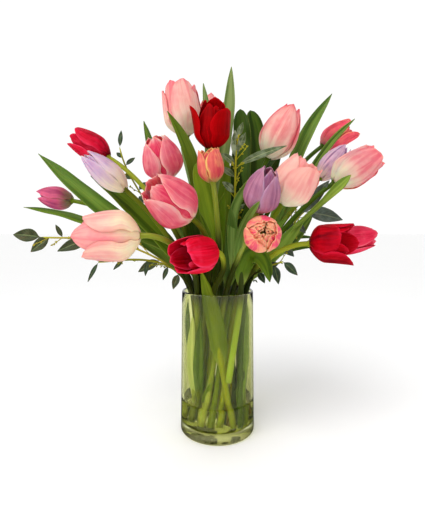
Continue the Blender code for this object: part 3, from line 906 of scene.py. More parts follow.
HEADS: dict[str, Head] = {
    "red_left": Head(
        (-156, 35, 387), (-212, 45, 421), 20.5,
        replace(RED, edge=tone(232, 58, 92), body=tone(214, 16, 50), flame=tone(150, 0, 22)), 0.5, 0.0,
        (
            Petal(1, 12, 1.0, 0.72, 58, 0.16),
            Petal(1, 146, 0.97, 0.62, 60, 0.08, 0.1),
            Petal(1, 265, 1.0, 0.6),
            Petal(0, 78, 0.98, 0.56, 52, 0.12),
            Petal(0, 205, 0.96, 0.62, 50, 0.12),
            Petal(0, 325, 0.96, 0.66, 50, 0.16),
        ),
        0.54,
    ),
    "lilac_left": Head(
        (-115, -45, 333), (-164, -55, 377), 16.5,
        replace(
            LILAC, root=tone(254, 230, 192), body=tone(228, 198, 208), flame=tone(170, 126, 174),
            edge=tone(206, 178, 204), root_reach=0.66,
        ),
        0.5, 0.2,
        (
            Petal(1, 48, 1.0, 0.36, 62, 0.14),
            Petal(1, 160, 0.98, 0.34, 62, 0.14),
            Petal(1, 280, 1.0, 0.36),
            Petal(0, 104, 0.93, 0.34, 48, 0.14),
            Petal(0, 220, 0.97, 0.36),
            Petal(0, 340, 0.97, 0.36),
        ),
        0.46,
    ),
    "plum_left": Head(
        (-214, 45, 326), (-272, 55, 336), 17.5, PLUM, 0.5, 0.0,
        (
            Petal(1, 38, 0.94, 0.38, 60, 0.2),
            Petal(1, 142, 1.0, 0.36, 60, 0.2),
            Petal(1, 262, 0.95, 0.4),
            Petal(0, 90, 0.86, 0.4, 45, 0.2),
            Petal(0, 200, 0.92, 0.4),
            Petal(0, 325, 0.9, 0.4),
        ),
        0.5,
    ),
    "blush_left": Head(
        (-81, -125, 279), (-151, -135, 278), 27,
        replace(
            BLUSH, body=tone(250, 200, 180), edge=tone(240, 138, 138), root=tone(255, 236, 192),
            root_reach=0.72, flame=tone(240, 138, 142), inner_depth=0.6,
        ),
        0.9, 0.4,
        (
            Petal(1, 24, 0.87, 0.82, 58, 0.16),
            Petal(1, 160, 0.84, 0.76, 60, 0.12),
            Petal(1, 272, 0.84, 0.7, 60, 0.0),
            Petal(0, 92, 1.0, 0.46, 56, 0.02),
            Petal(0, 208, 0.88, 0.6, 52, 0.0),
            Petal(0, 334, 0.82, 0.7, 52, 0.0),
        ),
        0.66,
    ),
    "rose_upper": Head(
        (-62, -45, 345), (-76, -65, 396), 25, ROSE, 1.2, 0.3,
        (
            Petal(1, 24, 0.9, 0.52, 62, 0.2),
            Petal(1, 156, 0.97, 0.46, 64, 0.16),
            Petal(1, 268, 0.98, 0.4, 58, 0.04),
            Petal(0, 88, 1.0, 0.36, 54, 0.02),
            Petal(0, 205, 0.96, 0.4, 50, 0.04),
            Petal(0, 325, 0.98, 0.44, 50, 0.04),
        ),
    ),
    "rose_front": Head(
        (-28, -105, 296), (-72, -130, 333), 26.5, ROSE, 1.4, 0.4,
        (
            Petal(1, 22, 0.92, 0.62, 62, 0.18),
            Petal(1, 157, 0.98, 0.5, 64, 0.16),
            Petal(1, 268, 1.0, 0.58, 58, 0.04),
            Petal(0, 88, 0.98, 0.5, 56, 0.02),
            Petal(0, 210, 0.98, 0.54, 52, 0.0),
            Petal(0, 330, 0.97, 0.66, 52, 0.0),
        ),
    ),
    "blush_top": Head(
        (-41, -10, 406), (-52, -15, 476), 25.5, replace(BLUSH, root_reach=0.68), 0.7, 0.2,
        (
            Petal(1, 112, 0.98, 0.68, 54, 0.04),
            Petal(1, -10, 0.9, 0.86, 52, 0.06),
            Petal(1, 228, 0.94, 0.8, 56, 0.06),
            Petal(0, 58, 0.99, 0.72, 48, 0.03),
            Petal(0, 172, 0.9, 0.92, 50, 0.06),
            Petal(0, 286, 0.98, 0.74, 50, 0.06),
        ),
        0.66,
    ),
    "red_top": Head(
        (-8, -50, 381), (-6, -55, 443), 21.5,
        replace(RED, body=tone(172, 0, 2), edge=tone(188, 0, 10), flame=tone(124, 0, 4)), 0.5, 0.3,
        (
            Petal(1, 4, 0.87, 0.9, 44, 0.16, 0.42),
            Petal(1, 142, 0.78, 0.9, 58, 0.2, 0.14),
            Petal(1, 262, 1.06, 0.6, 64, 0.04),
            Petal(0, 68, 0.86, 0.6, 44, 0.16),
            Petal(0, 108, 0.82, 0.6, 40, 0.2),
            Petal(0, 205, 0.94, 0.66, 50, 0.1),
            Petal(0, 322, 0.98, 0.62, 50, 0.08),
        ),
        0.56,
    ),
    "coral_centre": Head(
        (-6, -85, 337), (-12, -90, 377), 15.5, CORAL, 0.7, 0.3,
        (
            Petal(1, 128, 0.95, 0.76, 62, 0.17),
            Petal(1, 14, 0.97, 0.7, 56, 0.24),
            Petal(1, 250, 1.0, 0.8),
            Petal(0, 76, 0.88, 0.66, 40, 0.17),
            Petal(0, 190, 0.97, 0.9, 44, 0.28),
            Petal(0, 315, 0.97, 0.75, 50, 0.14),
            *hearts(40, 0.75),
        ),
    ),
    "red_front": Head(
        (-4, -90, 259), (-43, -135, 257), 21.5,
        replace(RED, body=tone(232, 10, 48), edge=tone(248, 62, 104), flame=tone(176, 0, 20)),
        0.6, 0.4,
        (
            Petal(1, 116, 1.0, 0.76, 66, 0.06),
            Petal(1, -12, 0.94, 0.8, 62, 0.06),
            Petal(1, 236, 1.0, 0.78, 62, 0.06),
            Petal(0, 168, 0.94, 0.66, 46, 0.2),
            Petal(0, 48, 0.88, 0.6, 44, 0.2),
            Petal(0, 288, 0.97, 0.78, 50, 0.1),
        ),
    ),
    "blush_right": Head(
        (66, -10, 377), (99, -15, 445), 25,
        replace(
            BLUSH, body=tone(248, 184, 170), edge=tone(220, 60, 84), edge_width=0.42,
            edge_strength=0.95, root_reach=0.5, rim_light=0.0,
        ),
        0.25, 0.1,
        (
            Petal(1, 78, 1.0, 0.34, 64, 0.08),
            Petal(1, 200, 0.96, 0.46, 60, 0.1),
            Petal(1, 322, 0.97, 0.44, 58, 0.1),
            Petal(0, 142, 0.98, 0.44, 50, 0.08),
            Petal(0, 262, 0.98, 0.44),
            Petal(0, 20, 0.98, 0.42, 50, 0.07),
        ),
        0.62,
    ),
    "coral_right": Head(
        (156, 55, 407), (202, 65, 440), 19,
        replace(CORAL, body=tone(250, 84, 108), edge=tone(255, 160, 112), root=tone(170, 100, 110)),
        0.6, 0.0,
        (
            Petal(1, 40, 1.02, 0.6, 62, 0.28),
            Petal(1, 150, 0.98, 1.0, 44, 0.35, 0.15),
            Petal(1, 268, 0.98, 0.8, 56, 0.24),
            Petal(0, 95, 0.84, 0.7, 46, 0.21),
            Petal(0, 208, 0.92, 0.9, 50, 0.24),
            Petal(0, 330, 0.95, 0.7, 50, 0.21),
            *hearts(20, 0.8),
        ),
    ),
    "lilac_right": Head(
        (140, 10, 353), (182, 20, 400), 16.5,
        replace(LILAC, body=tone(240, 200, 216), edge=tone(200, 168, 206)), 0.5, 0.1,
        (
            Petal(1, 52, 0.98, 0.38, 62, 0.14),
            Petal(1, 158, 1.0, 0.42, 62, 0.14),
            Petal(1, 280, 0.98, 0.4),
            Petal(0, 102, 0.95, 0.38, 46, 0.14),
            Petal(0, 220, 0.97, 0.38),
            Petal(0, 340, 0.97, 0.38),
        ),
        0.46,
    ),
    "rose_right": Head(
        (145, -40, 342), (199, -40, 379), 23,
        replace(
            ROSE, edge=tone(228, 88, 106), body=tone(246, 168, 160), flame=tone(230, 112, 124),
            root=tone(252, 232, 200), root_reach=0.56,
        ),
        1.0, 0.4,
        (
            Petal(1, 98, 0.97, 0.76, 68, 0.0),
            Petal(1, 2, 0.94, 0.68, 58, 0.08),
            Petal(1, 232, 1.0, 0.86, 60, 0.0),
            Petal(0, 42, 0.98, 0.7, 50, 0.03),
            Petal(0, 158, 1.0, 0.8, 52, 0.0),
            Petal(0, 290, 0.98, 0.8, 50, 0.0),
        ),
    ),
    "blush_mid": Head(
        (72, -85, 312), (101, -95, 365), 25.5,
        replace(BLUSH, edge=tone(240, 158, 150), body=tone(246, 186, 170), flame=tone(238, 140, 138)),
        1.3, 0.6,
        (
            Petal(1, 122, 0.86, 0.8, 64, 0.02),
            Petal(1, 10, 0.97, 0.56, 64, 0.0),
            Petal(1, 240, 0.96, 0.8, 56, 0.03),
            Petal(0, 66, 0.93, 0.62, 52, 0.0),
            Petal(0, 178, 0.93, 0.84, 52, 0.0),
            Petal(0, 296, 0.98, 0.72, 52, 0.0),
        ),
    ),
    "lilac_mid": Head(
        (42, -105, 303), (52, -130, 349), 20.5,
        replace(LILAC, body=tone(184, 124, 146), flame=tone(130, 72, 108), root=tone(206, 150, 146)),
        0.7, 0.1,
        (
            Petal(1, 32, 1.0, 0.32, 62, 0.1),
            Petal(1, 138, 0.9, 0.5, 56, 0.1),
            Petal(1, 258, 0.97, 0.36, 58, 0.08),
            Petal(0, 104, 1.0, 0.3, 50, 0.06),
            Petal(0, 180, 0.97, 0.4, 50, 0.06),
            Petal(0, 310, 0.98, 0.36, 50, 0.08),
        ),
        0.52,
    ),
    "coral_front": Head(
        (47, -105, 278), (46, -140, 283), 20.5,
        replace(
            CORAL, body=tone(255, 160, 126), flame=tone(240, 80, 108), edge=tone(255, 214, 156),
            heart=tone(240, 120, 80), root_reach=0.1, flame_strength=1.5, edge_width=0.2,
            edge_strength=0.7, inner_depth=-0.75,
        ),
        1.0, 0.0,
        (
            Petal(1, 30, 1.0, 0.56, 62, 0.1),
            Petal(1, 150, 0.96, 0.62, 60, 0.1),
            Petal(1, 270, 0.94, 0.52, 62, 0.1),
            Petal(0, 350, 0.96, 0.34, 44, 0.04),
            Petal(0, 62, 0.98, 0.36, 44, 0.04),
            Petal(0, 134, 0.97, 0.38, 44, 0.04),
            Petal(0, 206, 1.0, 0.34, 44, 0.04),
            Petal(0, 278, 0.98, 0.36, 44, 0.04),
            Petal(2, 20, 1.02, 0.3, 54, 0.0),
            Petal(2, 110, 1.04, 0.24, 54, 0.0),
            Petal(2, 200, 1.0, 0.32, 54, 0.0),
            Petal(2, 290, 1.04, 0.26, 54, 0.0),
            Petal(3, 60, 1.04, 0.2, 60, 0.0),
            Petal(3, 180, 1.06, 0.16, 60, 0.0),
            Petal(3, 300, 1.04, 0.2, 60, 0.0),
        ),
        0.66,
    ),
    "red_right": Head(
        (106, -75, 268), (160, -85, 270), 22.5,
        replace(
            RED, body=tone(186, 0, 18), flame=tone(108, 0, 16), edge=tone(210, 24, 54), inner_depth=-0.4
        ),
        0.5, 0.0,
        (
            Petal(1, 66, 0.66, 0.98, 64, 0.04),
            Petal(1, -24, 1.0, 0.98, 54, 0.1),
            Petal(1, 172, 0.96, 0.95, 58, 0.06, 0.24),
            Petal(0, 122, 0.82, 0.8, 46, 0.2),
            Petal(0, 262, 1.12, 0.84, 58, 0.1),
            Petal(0, 8, 0.86, 0.85, 50, 0.14),
        ),
        0.54,
    ),
    "red_far": Head(
        (160, 20, 264), (226, 20, 274), 21,
        replace(RED, body=tone(232, 52, 86), edge=tone(244, 108, 128), flame=tone(186, 16, 48)), 0.5, 0.2,
        ring_of(Opening.CUP, 65, 0.1),
    ),
    "blush_back": Head(
        (-13, 90, 425), (-9, 100, 496), 21.5, BLUSH, 0.5, 0.0, ring_of(Opening.EGG, 90)
    ),
}

# Stems in millimetres: where each stands, where it crosses the rim, its shoulder.
STEMS: dict[str, tuple[tuple[float, float], tuple[float, float], Triple]] = {
    "red_left": ((-7, 24.5), (-27.5, 8), (-76.5, 16.5, 306.5)),
    "lilac_left": ((-24.5, 21), (-35.5, -10), (-64.5, -28.5, 272.5)),
    "plum_left": ((-12.5, 34.5), (-39.5, 10.5), (-112, 22.5, 283)),
    "blush_left": ((-34.5, 6), (-27, -30.5), (-40, -82, 254.5)),
    "rose_upper": ((-14, 16), (-25, -5), (-41.5, -21, 274)),
    "rose_front": ((-28.5, -6.5), (-13.5, -30.5), (-11, -65.5, 256.5)),
    "blush_top": ((-3.5, 13), (-15.5, 2.5), (-27, -3, 303)),
    "red_top": ((-21, 2), (-12.5, -15), (-8, -35.5, 290.5)),
    "coral_centre": ((-18.5, -8.5), (-1.5, -20), (0.5, -56, 268.5)),
    "red_front": ((19, -26), (-5.5, -36.5), (7, -59, 238.5)),
    "blush_right": ((8, -11), (15.5, 4), (35.5, -1, 290.5)),
    "coral_right": ((31, -13), (35, 21), (78.5, 38, 315)),
    "lilac_right": ((34, -22), (40.5, 6.5), (82.5, 4.5, 281)),
    "rose_right": ((28, -29.5), (39, -12.5), (83.5, -21, 278.5)),
    "blush_mid": ((-8.5, -23.5), (20.5, -16.5), (45.5, -44, 262)),
    "lilac_mid": ((-19, -21), (11, -25.5), (25.5, -65, 253)),
    "coral_front": ((14, -38.5), (30.5, -28), (29, -56, 268.5)),
    "red_right": ((2.5, -22), (30, -14), (60, -47.5, 245.5)),
    "red_far": ((21.5, -15), (30, 12), (83, 20, 246)),
    "blush_back": ((16, 15.5), (-5, 25.5), (-12.5, 57.5, 312.5)),
    "eucalyptus_left": ((-19.5, 26), (-37.5, -3), (-118, -36, 264)),
    "eucalyptus_low": ((-31, 14.5), (-34.5, -21.5), (-67.5, -55.5, 241)),
    "eucalyptus_upper": ((-3, 32.5), (-33, 16.5), (-91, 27.5, 301.5)),
    "eucalyptus_centre": ((0.5, -15), (16.5, -6.5), (22, -22, 311)),
    "eucalyptus_right": ((13.5, -21.5), (36.5, 0.5), (86, -16.5, 265.5)),
    "eucalyptus_rim": ((10.5, -18), (28, -4.5), (53, -25.5, 227.5)),
    "eucalyptus_back": ((32, 11), (8.5, 38.5), (13, 75.5, 300)),
}

SHORT_STEMS = {"coral_front": 82}

SPRAY_ENDS: dict[str, tuple[Triple, Triple]] = {
    "eucalyptus_left": ((-219, -58, 275), (-1, 0, 0.05)),
    "eucalyptus_low": ((-140, -88, 247), (-0.97, -0.1, -0.1)),
    "eucalyptus_upper": ((-144, 45, 404), (-0.2, 0.1, 0.98)),
    "eucalyptus_centre": ((24, -45, 398), (0.1, -0.1, 1)),
    "eucalyptus_right": ((117, -12, 308), (0.8, 0, 0.6)),
    "eucalyptus_rim": ((84, -40, 243), (0.9, -0.2, 0.3)),
    "eucalyptus_back": ((30, 130, 390), (0.2, 0.59, 0.78)),
}


@dataclass(frozen=True)
class Leaf:
    """One tulip leaf, in millimetres, and how it is folded.

    It leaves its stem at a height and passes its middle on the way to its tip. Its channel
    is how deep it is folded, blunt how round its tip is, and widest where it is broadest.
    """

    stem: str
    height: float
    middle: Triple
    tip: Triple
    half_width: float
    face: Triple
    channel: float = 0.22
    blunt: float = 0.0
    widest: float = 0.36


LEAVES: tuple[Leaf, ...] = (
    Leaf("plum_left", 215, (-174, 3, 325), (-249, 10, 389), 13, (0, -0.86, 0.51)),
    Leaf("lilac_left", 222, (-110, -22, 309), (-168, -18, 355), 11.5, (0, -0.8, 0.6)),
    Leaf("lilac_left", 230, (-194, -14, 300), (-262, -11, 314), 6.5, (0, -0.6, 0.8)),
    Leaf("blush_top", 235, (-34, -45, 374), (-62, -55, 428), 8.5, (0, -1, 0.1)),
    Leaf("coral_centre", 235, (-16, -60, 323), (-26, -62, 365), 10.5, (0, -1, 0.15), 0.22, 0.8),
    Leaf("blush_back", 230, (17, 50, 460), (21, 60, 525), 9, (0, -1, 0)),
    Leaf("blush_back", 270, (-15, 60, 455), (-21, 70, 505), 6, (0, -1, 0)),
    Leaf("blush_right", 225, (36, 35, 405), (33, 40, 458), 13, (0, -1, 0), 0.22, 0.9),
    Leaf("coral_right", 225, (60, 55, 407), (50, 60, 462), 14, (0, -1, 0), 0.22, 0.9),
    Leaf("lilac_right", 240, (123, 20, 414), (163, 30, 476), 9.5, (0.2, -1, 0.1)),
    Leaf("lilac_right", 250, (161, 21, 407), (193, 20, 439), 5, (0, -0.96, 0.29)),
    Leaf("rose_right", 235, (128, -58, 318), (156, -75, 349), 6, (0, -0.8, 0.6), 0.22, 0.0, 0.78),
    Leaf("red_left", 250, (-95, 30, 402), (-107, 40, 441), 6, (0, -1, 0)),
    Leaf("red_front", 95, (-4, -39.5, 165), (-22, -44, 232), 12, (0, -1, 0), -0.28),
    Leaf("coral_front", 207, (46, -61, 254), (64, -64, 220), 12, (0.2, -1, 0.2)),
    Leaf("lilac_mid", 203, (13, -28, 223), (14, -34, 240), 5.5, (0, -1, 0)),
    Leaf("lilac_mid", 235, (27, -99, 286), (41, -140, 314), 4.6, (0, -1, 0.2), 0.22, 0.6),
    Leaf("lilac_right", 222, (103, 1, 269), (133, 0, 308), 9, (-0.2, -1, 0.3)),
    Leaf("rose_right", 212, (82, -32, 262), (112, -42, 301), 9.5, (-0.2, -1, 0.3)),
    Leaf("lilac_mid", 225, (22, -54, 314), (54, -55, 360), 6, (0, -1, 0)),
    Leaf("rose_front", 245, (-15, -72, 279), (-22, -78, 305), 6, (0, -1, 0)),
    Leaf("blush_back", 215, (-35, 87, 360), (-60, 125, 420), 11, (0, 1, 0.2)),
    Leaf("coral_right", 215, (60, 75, 320), (100, 130, 370), 11.5, (0.3, 1, 0.3)),
    Leaf("plum_left", 230, (-95, 60, 268), (-160, 95, 288), 11, (-0.2, 0.8, 0.5)),
    Leaf("coral_right", 207, (91, 60, 260), (160, 100, 270), 11.5, (0.2, 0.5, 0.8)),
    Leaf("blush_back", 222, (26, 60, 352), (52, 95, 425), 9, (0, 1, 0)),
    Leaf("blush_back", 205, (20, 90, 270), (30, 150, 300), 11, (0, 0.9, 0.45)),
    Leaf("red_left", 213, (-59, 51, 281), (-110, 100, 300), 11, (-0.3, 0.8, 0.5)),
)

# Blades that fill the heart of the bunch and gaps between its stems. Their low seeds make them dark, and
# this darkness is painted shade.
HEART_LEAVES: tuple[Leaf, ...] = (
    Leaf("coral_centre", 205, (-2, -40, 270), (8, -52, 330), 12, (0, -1, 0)),
    Leaf("red_top", 205, (-12, -28, 280), (-22, -36, 348), 12, (0.1, -1, 0)),
    Leaf("blush_mid", 205, (36, -30, 275), (46, -46, 336), 12, (-0.1, -1, 0)),
    Leaf("lilac_mid", 205, (18, -45, 262), (15, -60, 312), 10, (0, -1, 0.1)),
    Leaf("blush_right", 205, (24, -2, 290), (30, -6, 366), 13, (0, -1, 0)),
    Leaf("rose_upper", 210, (-34, -14, 280), (-46, -26, 344), 12, (0, -1, 0)),
    Leaf("blush_top", 208, (-22, 4, 290), (-30, 6, 380), 13, (0, -1, 0)),
    Leaf("blush_right", 202, (18, -8, 232), (22, -16, 268), 14, (0.1, -1, 0)),
    Leaf("red_top", 202, (-10, -20, 235), (-6, -26, 262), 12, (0, -1, 0)),
    Leaf("red_far", 204, (34, 2, 232), (52, 0, 262), 10, (0, -1, 0)),
    Leaf("blush_right", 208, (60, 4, 325), (88, 8, 388), 10, (0, -1, 0)),
    Leaf("blush_right", 206, (22, 4, 305), (23, 12, 405), 10, (0, -1, 0)),
    Leaf("red_far", 30, (37, 5, 105), (38, 6, 188), 8, (0, -1, 0)),
    Leaf("lilac_right", 24, (41.5, -4, 100), (42, 4, 190), 7, (0.8, -0.6, 0), -0.3),
    Leaf("coral_centre", 207, (8, -8, 320), (14, 0, 388), 10, (0, -1, 0)),
    Leaf("rose_right", 206, (62, -14, 262), (92, -22, 300), 8, (-0.2, -1, 0.2)),
    Leaf("coral_right", 226, (64, 36, 345), (94, 46, 412), 12, (0, -1, 0)),
    Leaf("blush_back", 158, (2, 29, 186), (6, 34, 228), 9, (0, -1, 0)),
)

# Pale blades folded down in the vase, along the glass.
GLASS_LEAVES: tuple[Leaf, ...] = (
    Leaf("blush_left", 30, (-38, -15, 100), (-33, -19, 166), 7, (-0.5, -0.86, 0), -0.3, 0.8),
    Leaf("rose_front", 40, (-26, -29, 100), (-22, -34, 170), 8, (-0.4, -0.9, 0), -0.3),
    Leaf("lilac_left", 60, (-42, -4, 130), (-41, -6, 186), 7, (-0.7, -0.7, 0), -0.3),
    Leaf("rose_right", 34, (38, -13, 108), (39, -14, 192), 8, (0.5, -0.86, 0), -0.3),
    Leaf("red_far", 34, (30, -18, 62), (36, -20, 92), 6, (0.3, -0.9, 0), -0.3),
    Leaf("coral_centre", 30, (-16, -20, 52), (-9, -30, 78), 6, (0.2, -0.9, 0.2), 0.2),
)

# Each group of leaves, the lowest seed that its leaves draw, and the spread above it. A low seed gives a
# dark leaf: a random darker tone on the outer leaves, and painted shade on the heart leaves.
LEAF_GROUPS = ((LEAVES, 0.4, 0.6), (HEART_LEAVES, 0, 0.2), (GLASS_LEAVES, 1, 0))

# Eucalyptus leaves: share of the way along the free stem, the way they point,
# length and width in millimetres.
SPRAY_LEAVES: dict[str, tuple[tuple[float, Triple, float, float], ...]] = {
    "eucalyptus_left": (
        (1, (-0.95, -0.15, 0.2), 33, 17),
        (0.95, (-0.75, -0.2, -0.5), 27, 15),
        (0.88, (-0.35, -0.15, 0.9), 20, 6),
        (0.72, (-0.88, -0.35, -0.25), 42, 16),
        (0.29, (-0.85, -0.4, -0.35), 32, 13),
        (0.14, (-0.3, -0.5, -0.8), 22, 10),
    ),
    "eucalyptus_low": (
        (1, (-0.5, -0.15, -0.85), 24, 5),
        (0.94, (-0.85, -0.4, 0.3), 14, 4),
        (0.8, (-0.7, -0.4, -0.6), 16, 5),
        (0.6, (-0.1, -0.4, -0.9), 18, 6),
        (0.4, (-0.3, -0.5, -0.8), 18, 6),
    ),
    "eucalyptus_upper": (
        (1, (0.1, 0, 1), 28, 7),
        (0.93, (-0.57, 0.55, 0.61), 20, 7),
        (0.88, (0.7, 0.12, 0.7), 20, 7),
        (0.78, (-0.69, 0.52, 0.5), 22, 9),
        (0.7, (0.57, 0.46, 0.68), 22, 10),
        (0.6, (-0.58, 0.58, 0.58), 24, 11),
        (0.5, (0.36, 0.72, 0.6), 24, 11),
    ),
    "eucalyptus_centre": (
        (1, (0.3, -0.1, 0.95), 22, 7),
        (0.9, (0.35, 0.1, 0.93), 34, 10),
        (0.87, (-0.05, -0.3, 0.95), 40, 11),
        (0.84, (-0.6, -0.7, 0.4), 33, 10),
        (0.83, (0.88, -0.25, 0.42), 70, 10),
        (0.76, (-0.7, 0.2, 0.65), 26, 9),
        (0.66, (-0.6, -0.55, 0.55), 28, 10),
        (0.62, (0.72, -0.15, 0.65), 50, 10),
        (0.52, (0.46, -0.68, 0.57), 28, 10),
    ),
    "eucalyptus_right": (
        (1, (0.97, -0.2, -0.12), 50, 21),
        (0.93, (0.44, -0.5, 0.76), 68, 16),
        (0.86, (0.6, -0.4, -0.6), 20, 10),
        (0.72, (0.3, -0.2, 0.9), 20, 8),
        (0.6, (0.65, -0.54, -0.54), 24, 12),
        (0.5, (0.61, -0.5, 0.61), 18, 8),
    ),
    "eucalyptus_rim": (
        (1, (0.75, -0.1, -0.6), 24, 11),
        (0.85, (0.2, -0.3, -0.9), 24, 11),
        (0.7, (0.8, -0.4, 0.45), 20, 9),
        (0.55, (0.33, -0.77, -0.55), 20, 9),
    ),
    "eucalyptus_back": (
        (1, (0.1, 0.4, 0.91), 26, 10),
        (0.93, (-0.64, 0.43, 0.64), 24, 11),
        (0.88, (0.85, 0.29, 0.43), 24, 11),
        (0.79, (-0.67, 0.67, 0.33), 26, 13),
        (0.73, (0.54, 0.81, 0.21), 26, 13),
        (0.63, (-0.64, 0.74, 0.21), 28, 14),
        (0.56, (0.64, 0.74, 0.21), 28, 14),
        (0.46, (-0.31, 0.93, 0.21), 26, 13),
    ),
}


# ---- lines through space ----------------------------------------------------
def point(values: Sequence[float]) -> Vector:
    """A point given in millimetres, in metres."""
    return Vector(values) * MM


def hermite(points: Sequence[Vector], tangents: Sequence, place: float) -> Vector:
    """A point on a run of cubic pieces.

    Args:
        points: The ends of the pieces.
        tangents: Each piece's tangents at its start and its end.
        place: How far along the whole run, 0 to 1.

    Returns:
        The point.
    """
    pieces = len(points) - 1
    piece = min(int(place * pieces), pieces - 1)
    s = place * pieces - piece
    out, back = tangents[piece]
    return (
        points[piece] * (2 * s**3 - 3 * s**2 + 1)
        + out * (s**3 - 2 * s**2 + s)
        + points[piece + 1] * (3 * s**2 - 2 * s**3)
        + back * (s**3 - s**2)
    )


def stem_line(name: str, steps: int) -> list[Vector]:
    """Points up the middle line of a stem, from its cut foot to its top.

    Args:
        name: The tulip's or spray's name.
        steps: How many steps each of its three runs takes.

    Returns:
        The points.
    """
    foot_xy, rim_xy, shoulder = STEMS[name]
    foot = point((*foot_xy, SHORT_STEMS.get(name, FOOT_Z / MM)))
    rim = point((*rim_xy, VASE_HEIGHT / MM))
    turn = point(shoulder)
    if name in HEADS:
        top = point(HEADS[name].foot)
        way = (point(HEADS[name].tip) - top).normalized()
    else:
        top = point(SPRAY_ENDS[name][0])
        way = Vector(SPRAY_ENDS[name][1]).normalized()
    first, second, third = rim - foot, turn - rim, top - turn
    at_rim = (first.normalized() * 1.2 + second.normalized() * 0.8).normalized()
    at_turn = (second.normalized() + third.normalized()).normalized()
    tangents = (
        (first, at_rim * first.length * 0.7),
        (at_rim * second.length, at_turn * second.length),
        (at_turn * third.length, way * third.length),
    )
    count = steps * 3
    return [hermite((foot, rim, turn, top), tangents, i / count) for i in range(count + 1)]


def at_height(line: Sequence[Vector], height: float) -> tuple[Vector, Vector]:
    """Where a line passes a height, and the way it runs there.

    Args:
        line: Points from the bottom up.
        height: The height, in metres.

    Returns:
        The point and the direction.
    """
    for low, high in zip(line, line[1:]):
        if high.z >= height:
            share = (height - low.z) / (high.z - low.z)
            return low.lerp(high, share), (high - low).normalized()
    return line[-1].copy(), (line[-1] - line[-2]).normalized()


def at_share(line: Sequence[Vector], share: float) -> tuple[Vector, Vector]:
    """The point a share of the way along a line, and the way it runs there.

    Args:
        line: The line's points.
        share: How far along, 0 to 1.

    Returns:
        The point and the direction.
    """
    runs = [(high - low).length for low, high in zip(line, line[1:])]
    left = share * sum(runs)
    for low, high, run in zip(line, line[1:], runs):
        if left <= run:
            return low.lerp(high, left / run), (high - low).normalized()
        left -= run
    return line[-1].copy(), (line[-1] - line[-2]).normalized()


# ---- sheets and tubes -------------------------------------------------------
class Drawing:
    """A piece being drawn in a bmesh from grids, with its UV map and seeds."""

    def __init__(self) -> None:
        """Starts an empty piece."""
        self.work = bmesh.new()
        self.work.loops.layers.uv.new(UV)
        self.mark = self.work.verts.layers.float.new(SEED)

    def sheet(self, along: int, across: int, place: Place, seed: float) -> list:
        """Lays a grid out over a surface.

        Args:
            along: Cells along the blade.
            across: Cells across the blade.
            place: Gives the point for u 0..1 along and v -1..1 across.
            seed: Number that varies the blade's colours, 0 to 1, or 1 to 2 on inner petals.

        Returns:
            The grid's vertices.
        """
        made = bmesh.ops.create_grid(
            self.work, x_segments=along, y_segments=across, size=0.5, calc_uvs=True
        )
        verts = made["verts"]
        for vert in verts:
            u = min(max(vert.co.x + 0.5, 0.0), 1.0)
            v = min(max(vert.co.y * 2, -1.0), 1.0)
            vert.co = place(u, v)
            vert[self.mark] = seed
        return verts

    def tube(self, line: Sequence[Vector], radii: Sequence[float], sides: int, seed: float) -> None:
        """A closed tube along a line.

        Args:
            line: The middle line's points.
            radii: The radius at each point.
            sides: Faces round the tube.
            seed: Number that varies its colours, 0 to 1.
        """
        last = len(line) - 1
        runs = [
            (line[min(i + 1, last)] - line[max(i - 1, 0)]).normalized() for i in range(last + 1)
        ]
        side = runs[0].orthogonal().normalized()
        sideways = []
        for run in runs:
            side = (side - run * side.dot(run)).normalized()
            sideways.append(side)

        def place(u: float, v: float) -> Vector:
            """A point on the tube's skin.

            Args:
                u: Place along the tube, 0 to 1.
                v: Half turns round it, -1 to 1.

            Returns:
                The point.
            """
            i = round(u * last)
            over = runs[i].cross(sideways[i])
            angle = math.pi * v
            return line[i] + (sideways[i] * math.cos(angle) - over * math.sin(angle)) * radii[i]

        verts = self.sheet(last, sides, place, seed)
        bmesh.ops.remove_doubles(self.work, verts=verts, dist=1e-7)
        verts = [vert for vert in verts if vert.is_valid]
        open_edges = {edge for vert in verts for edge in vert.link_edges if edge.is_boundary}
        bmesh.ops.holes_fill(self.work, edges=list(open_edges), sides=0)

    def bead(self, centre: Vector, way: Vector, length: float, radius: float, seed: float) -> None:
        """A small egg-shaped bead.

        Args:
            centre: Its middle.
            way: The way its long axis points.
            length: Half its length.
            radius: Half its width.
            seed: Number that varies its colours, 0 to 1.
        """
        spin = Vector((0, 0, 1)).rotation_difference(way).to_matrix().to_4x4()
        size = Matrix.Diagonal((radius, radius, length, 1.0))
        made = bmesh.ops.create_uvsphere(
            self.work,
            u_segments=6,
            v_segments=4,
            radius=1.0,
            matrix=Matrix.Translation(centre) @ spin @ size,
            calc_uvs=True,
        )
        for vert in made["verts"]:
            vert[self.mark] = seed

    def piece(self, name: str, materials: Sequence[bpy.types.Material]) -> bpy.types.Object:
        """Finishes the drawing as a smooth object.

        Args:
            name: The object's name.
            materials: Its material slots, in order.

        Returns:
            The object.
        """
        for face in self.work.faces:
            face.smooth = True
        mesh = bpy.data.meshes.new(name)
        self.work.to_mesh(mesh)
        self.work.free()
        made = bpy.data.objects.new(name, mesh)
        bpy.context.scene.collection.objects.link(made)
        for material in materials:
            mesh.materials.append(material)
        return made


def thicken(piece: bpy.types.Object, thickness: float, inner_slot: int = 0) -> None:
    """Gives a piece made of open sheets its thickness.

    Args:
        piece: The piece.
        thickness: How thick its sheets are, in metres.
        inner_slot: How many slots on the back faces' material is.
    """
    shell = piece.modifiers.new("thickness", "SOLIDIFY")
    shell.thickness = thickness
    shell.offset = 0.0
    shell.material_offset = inner_slot


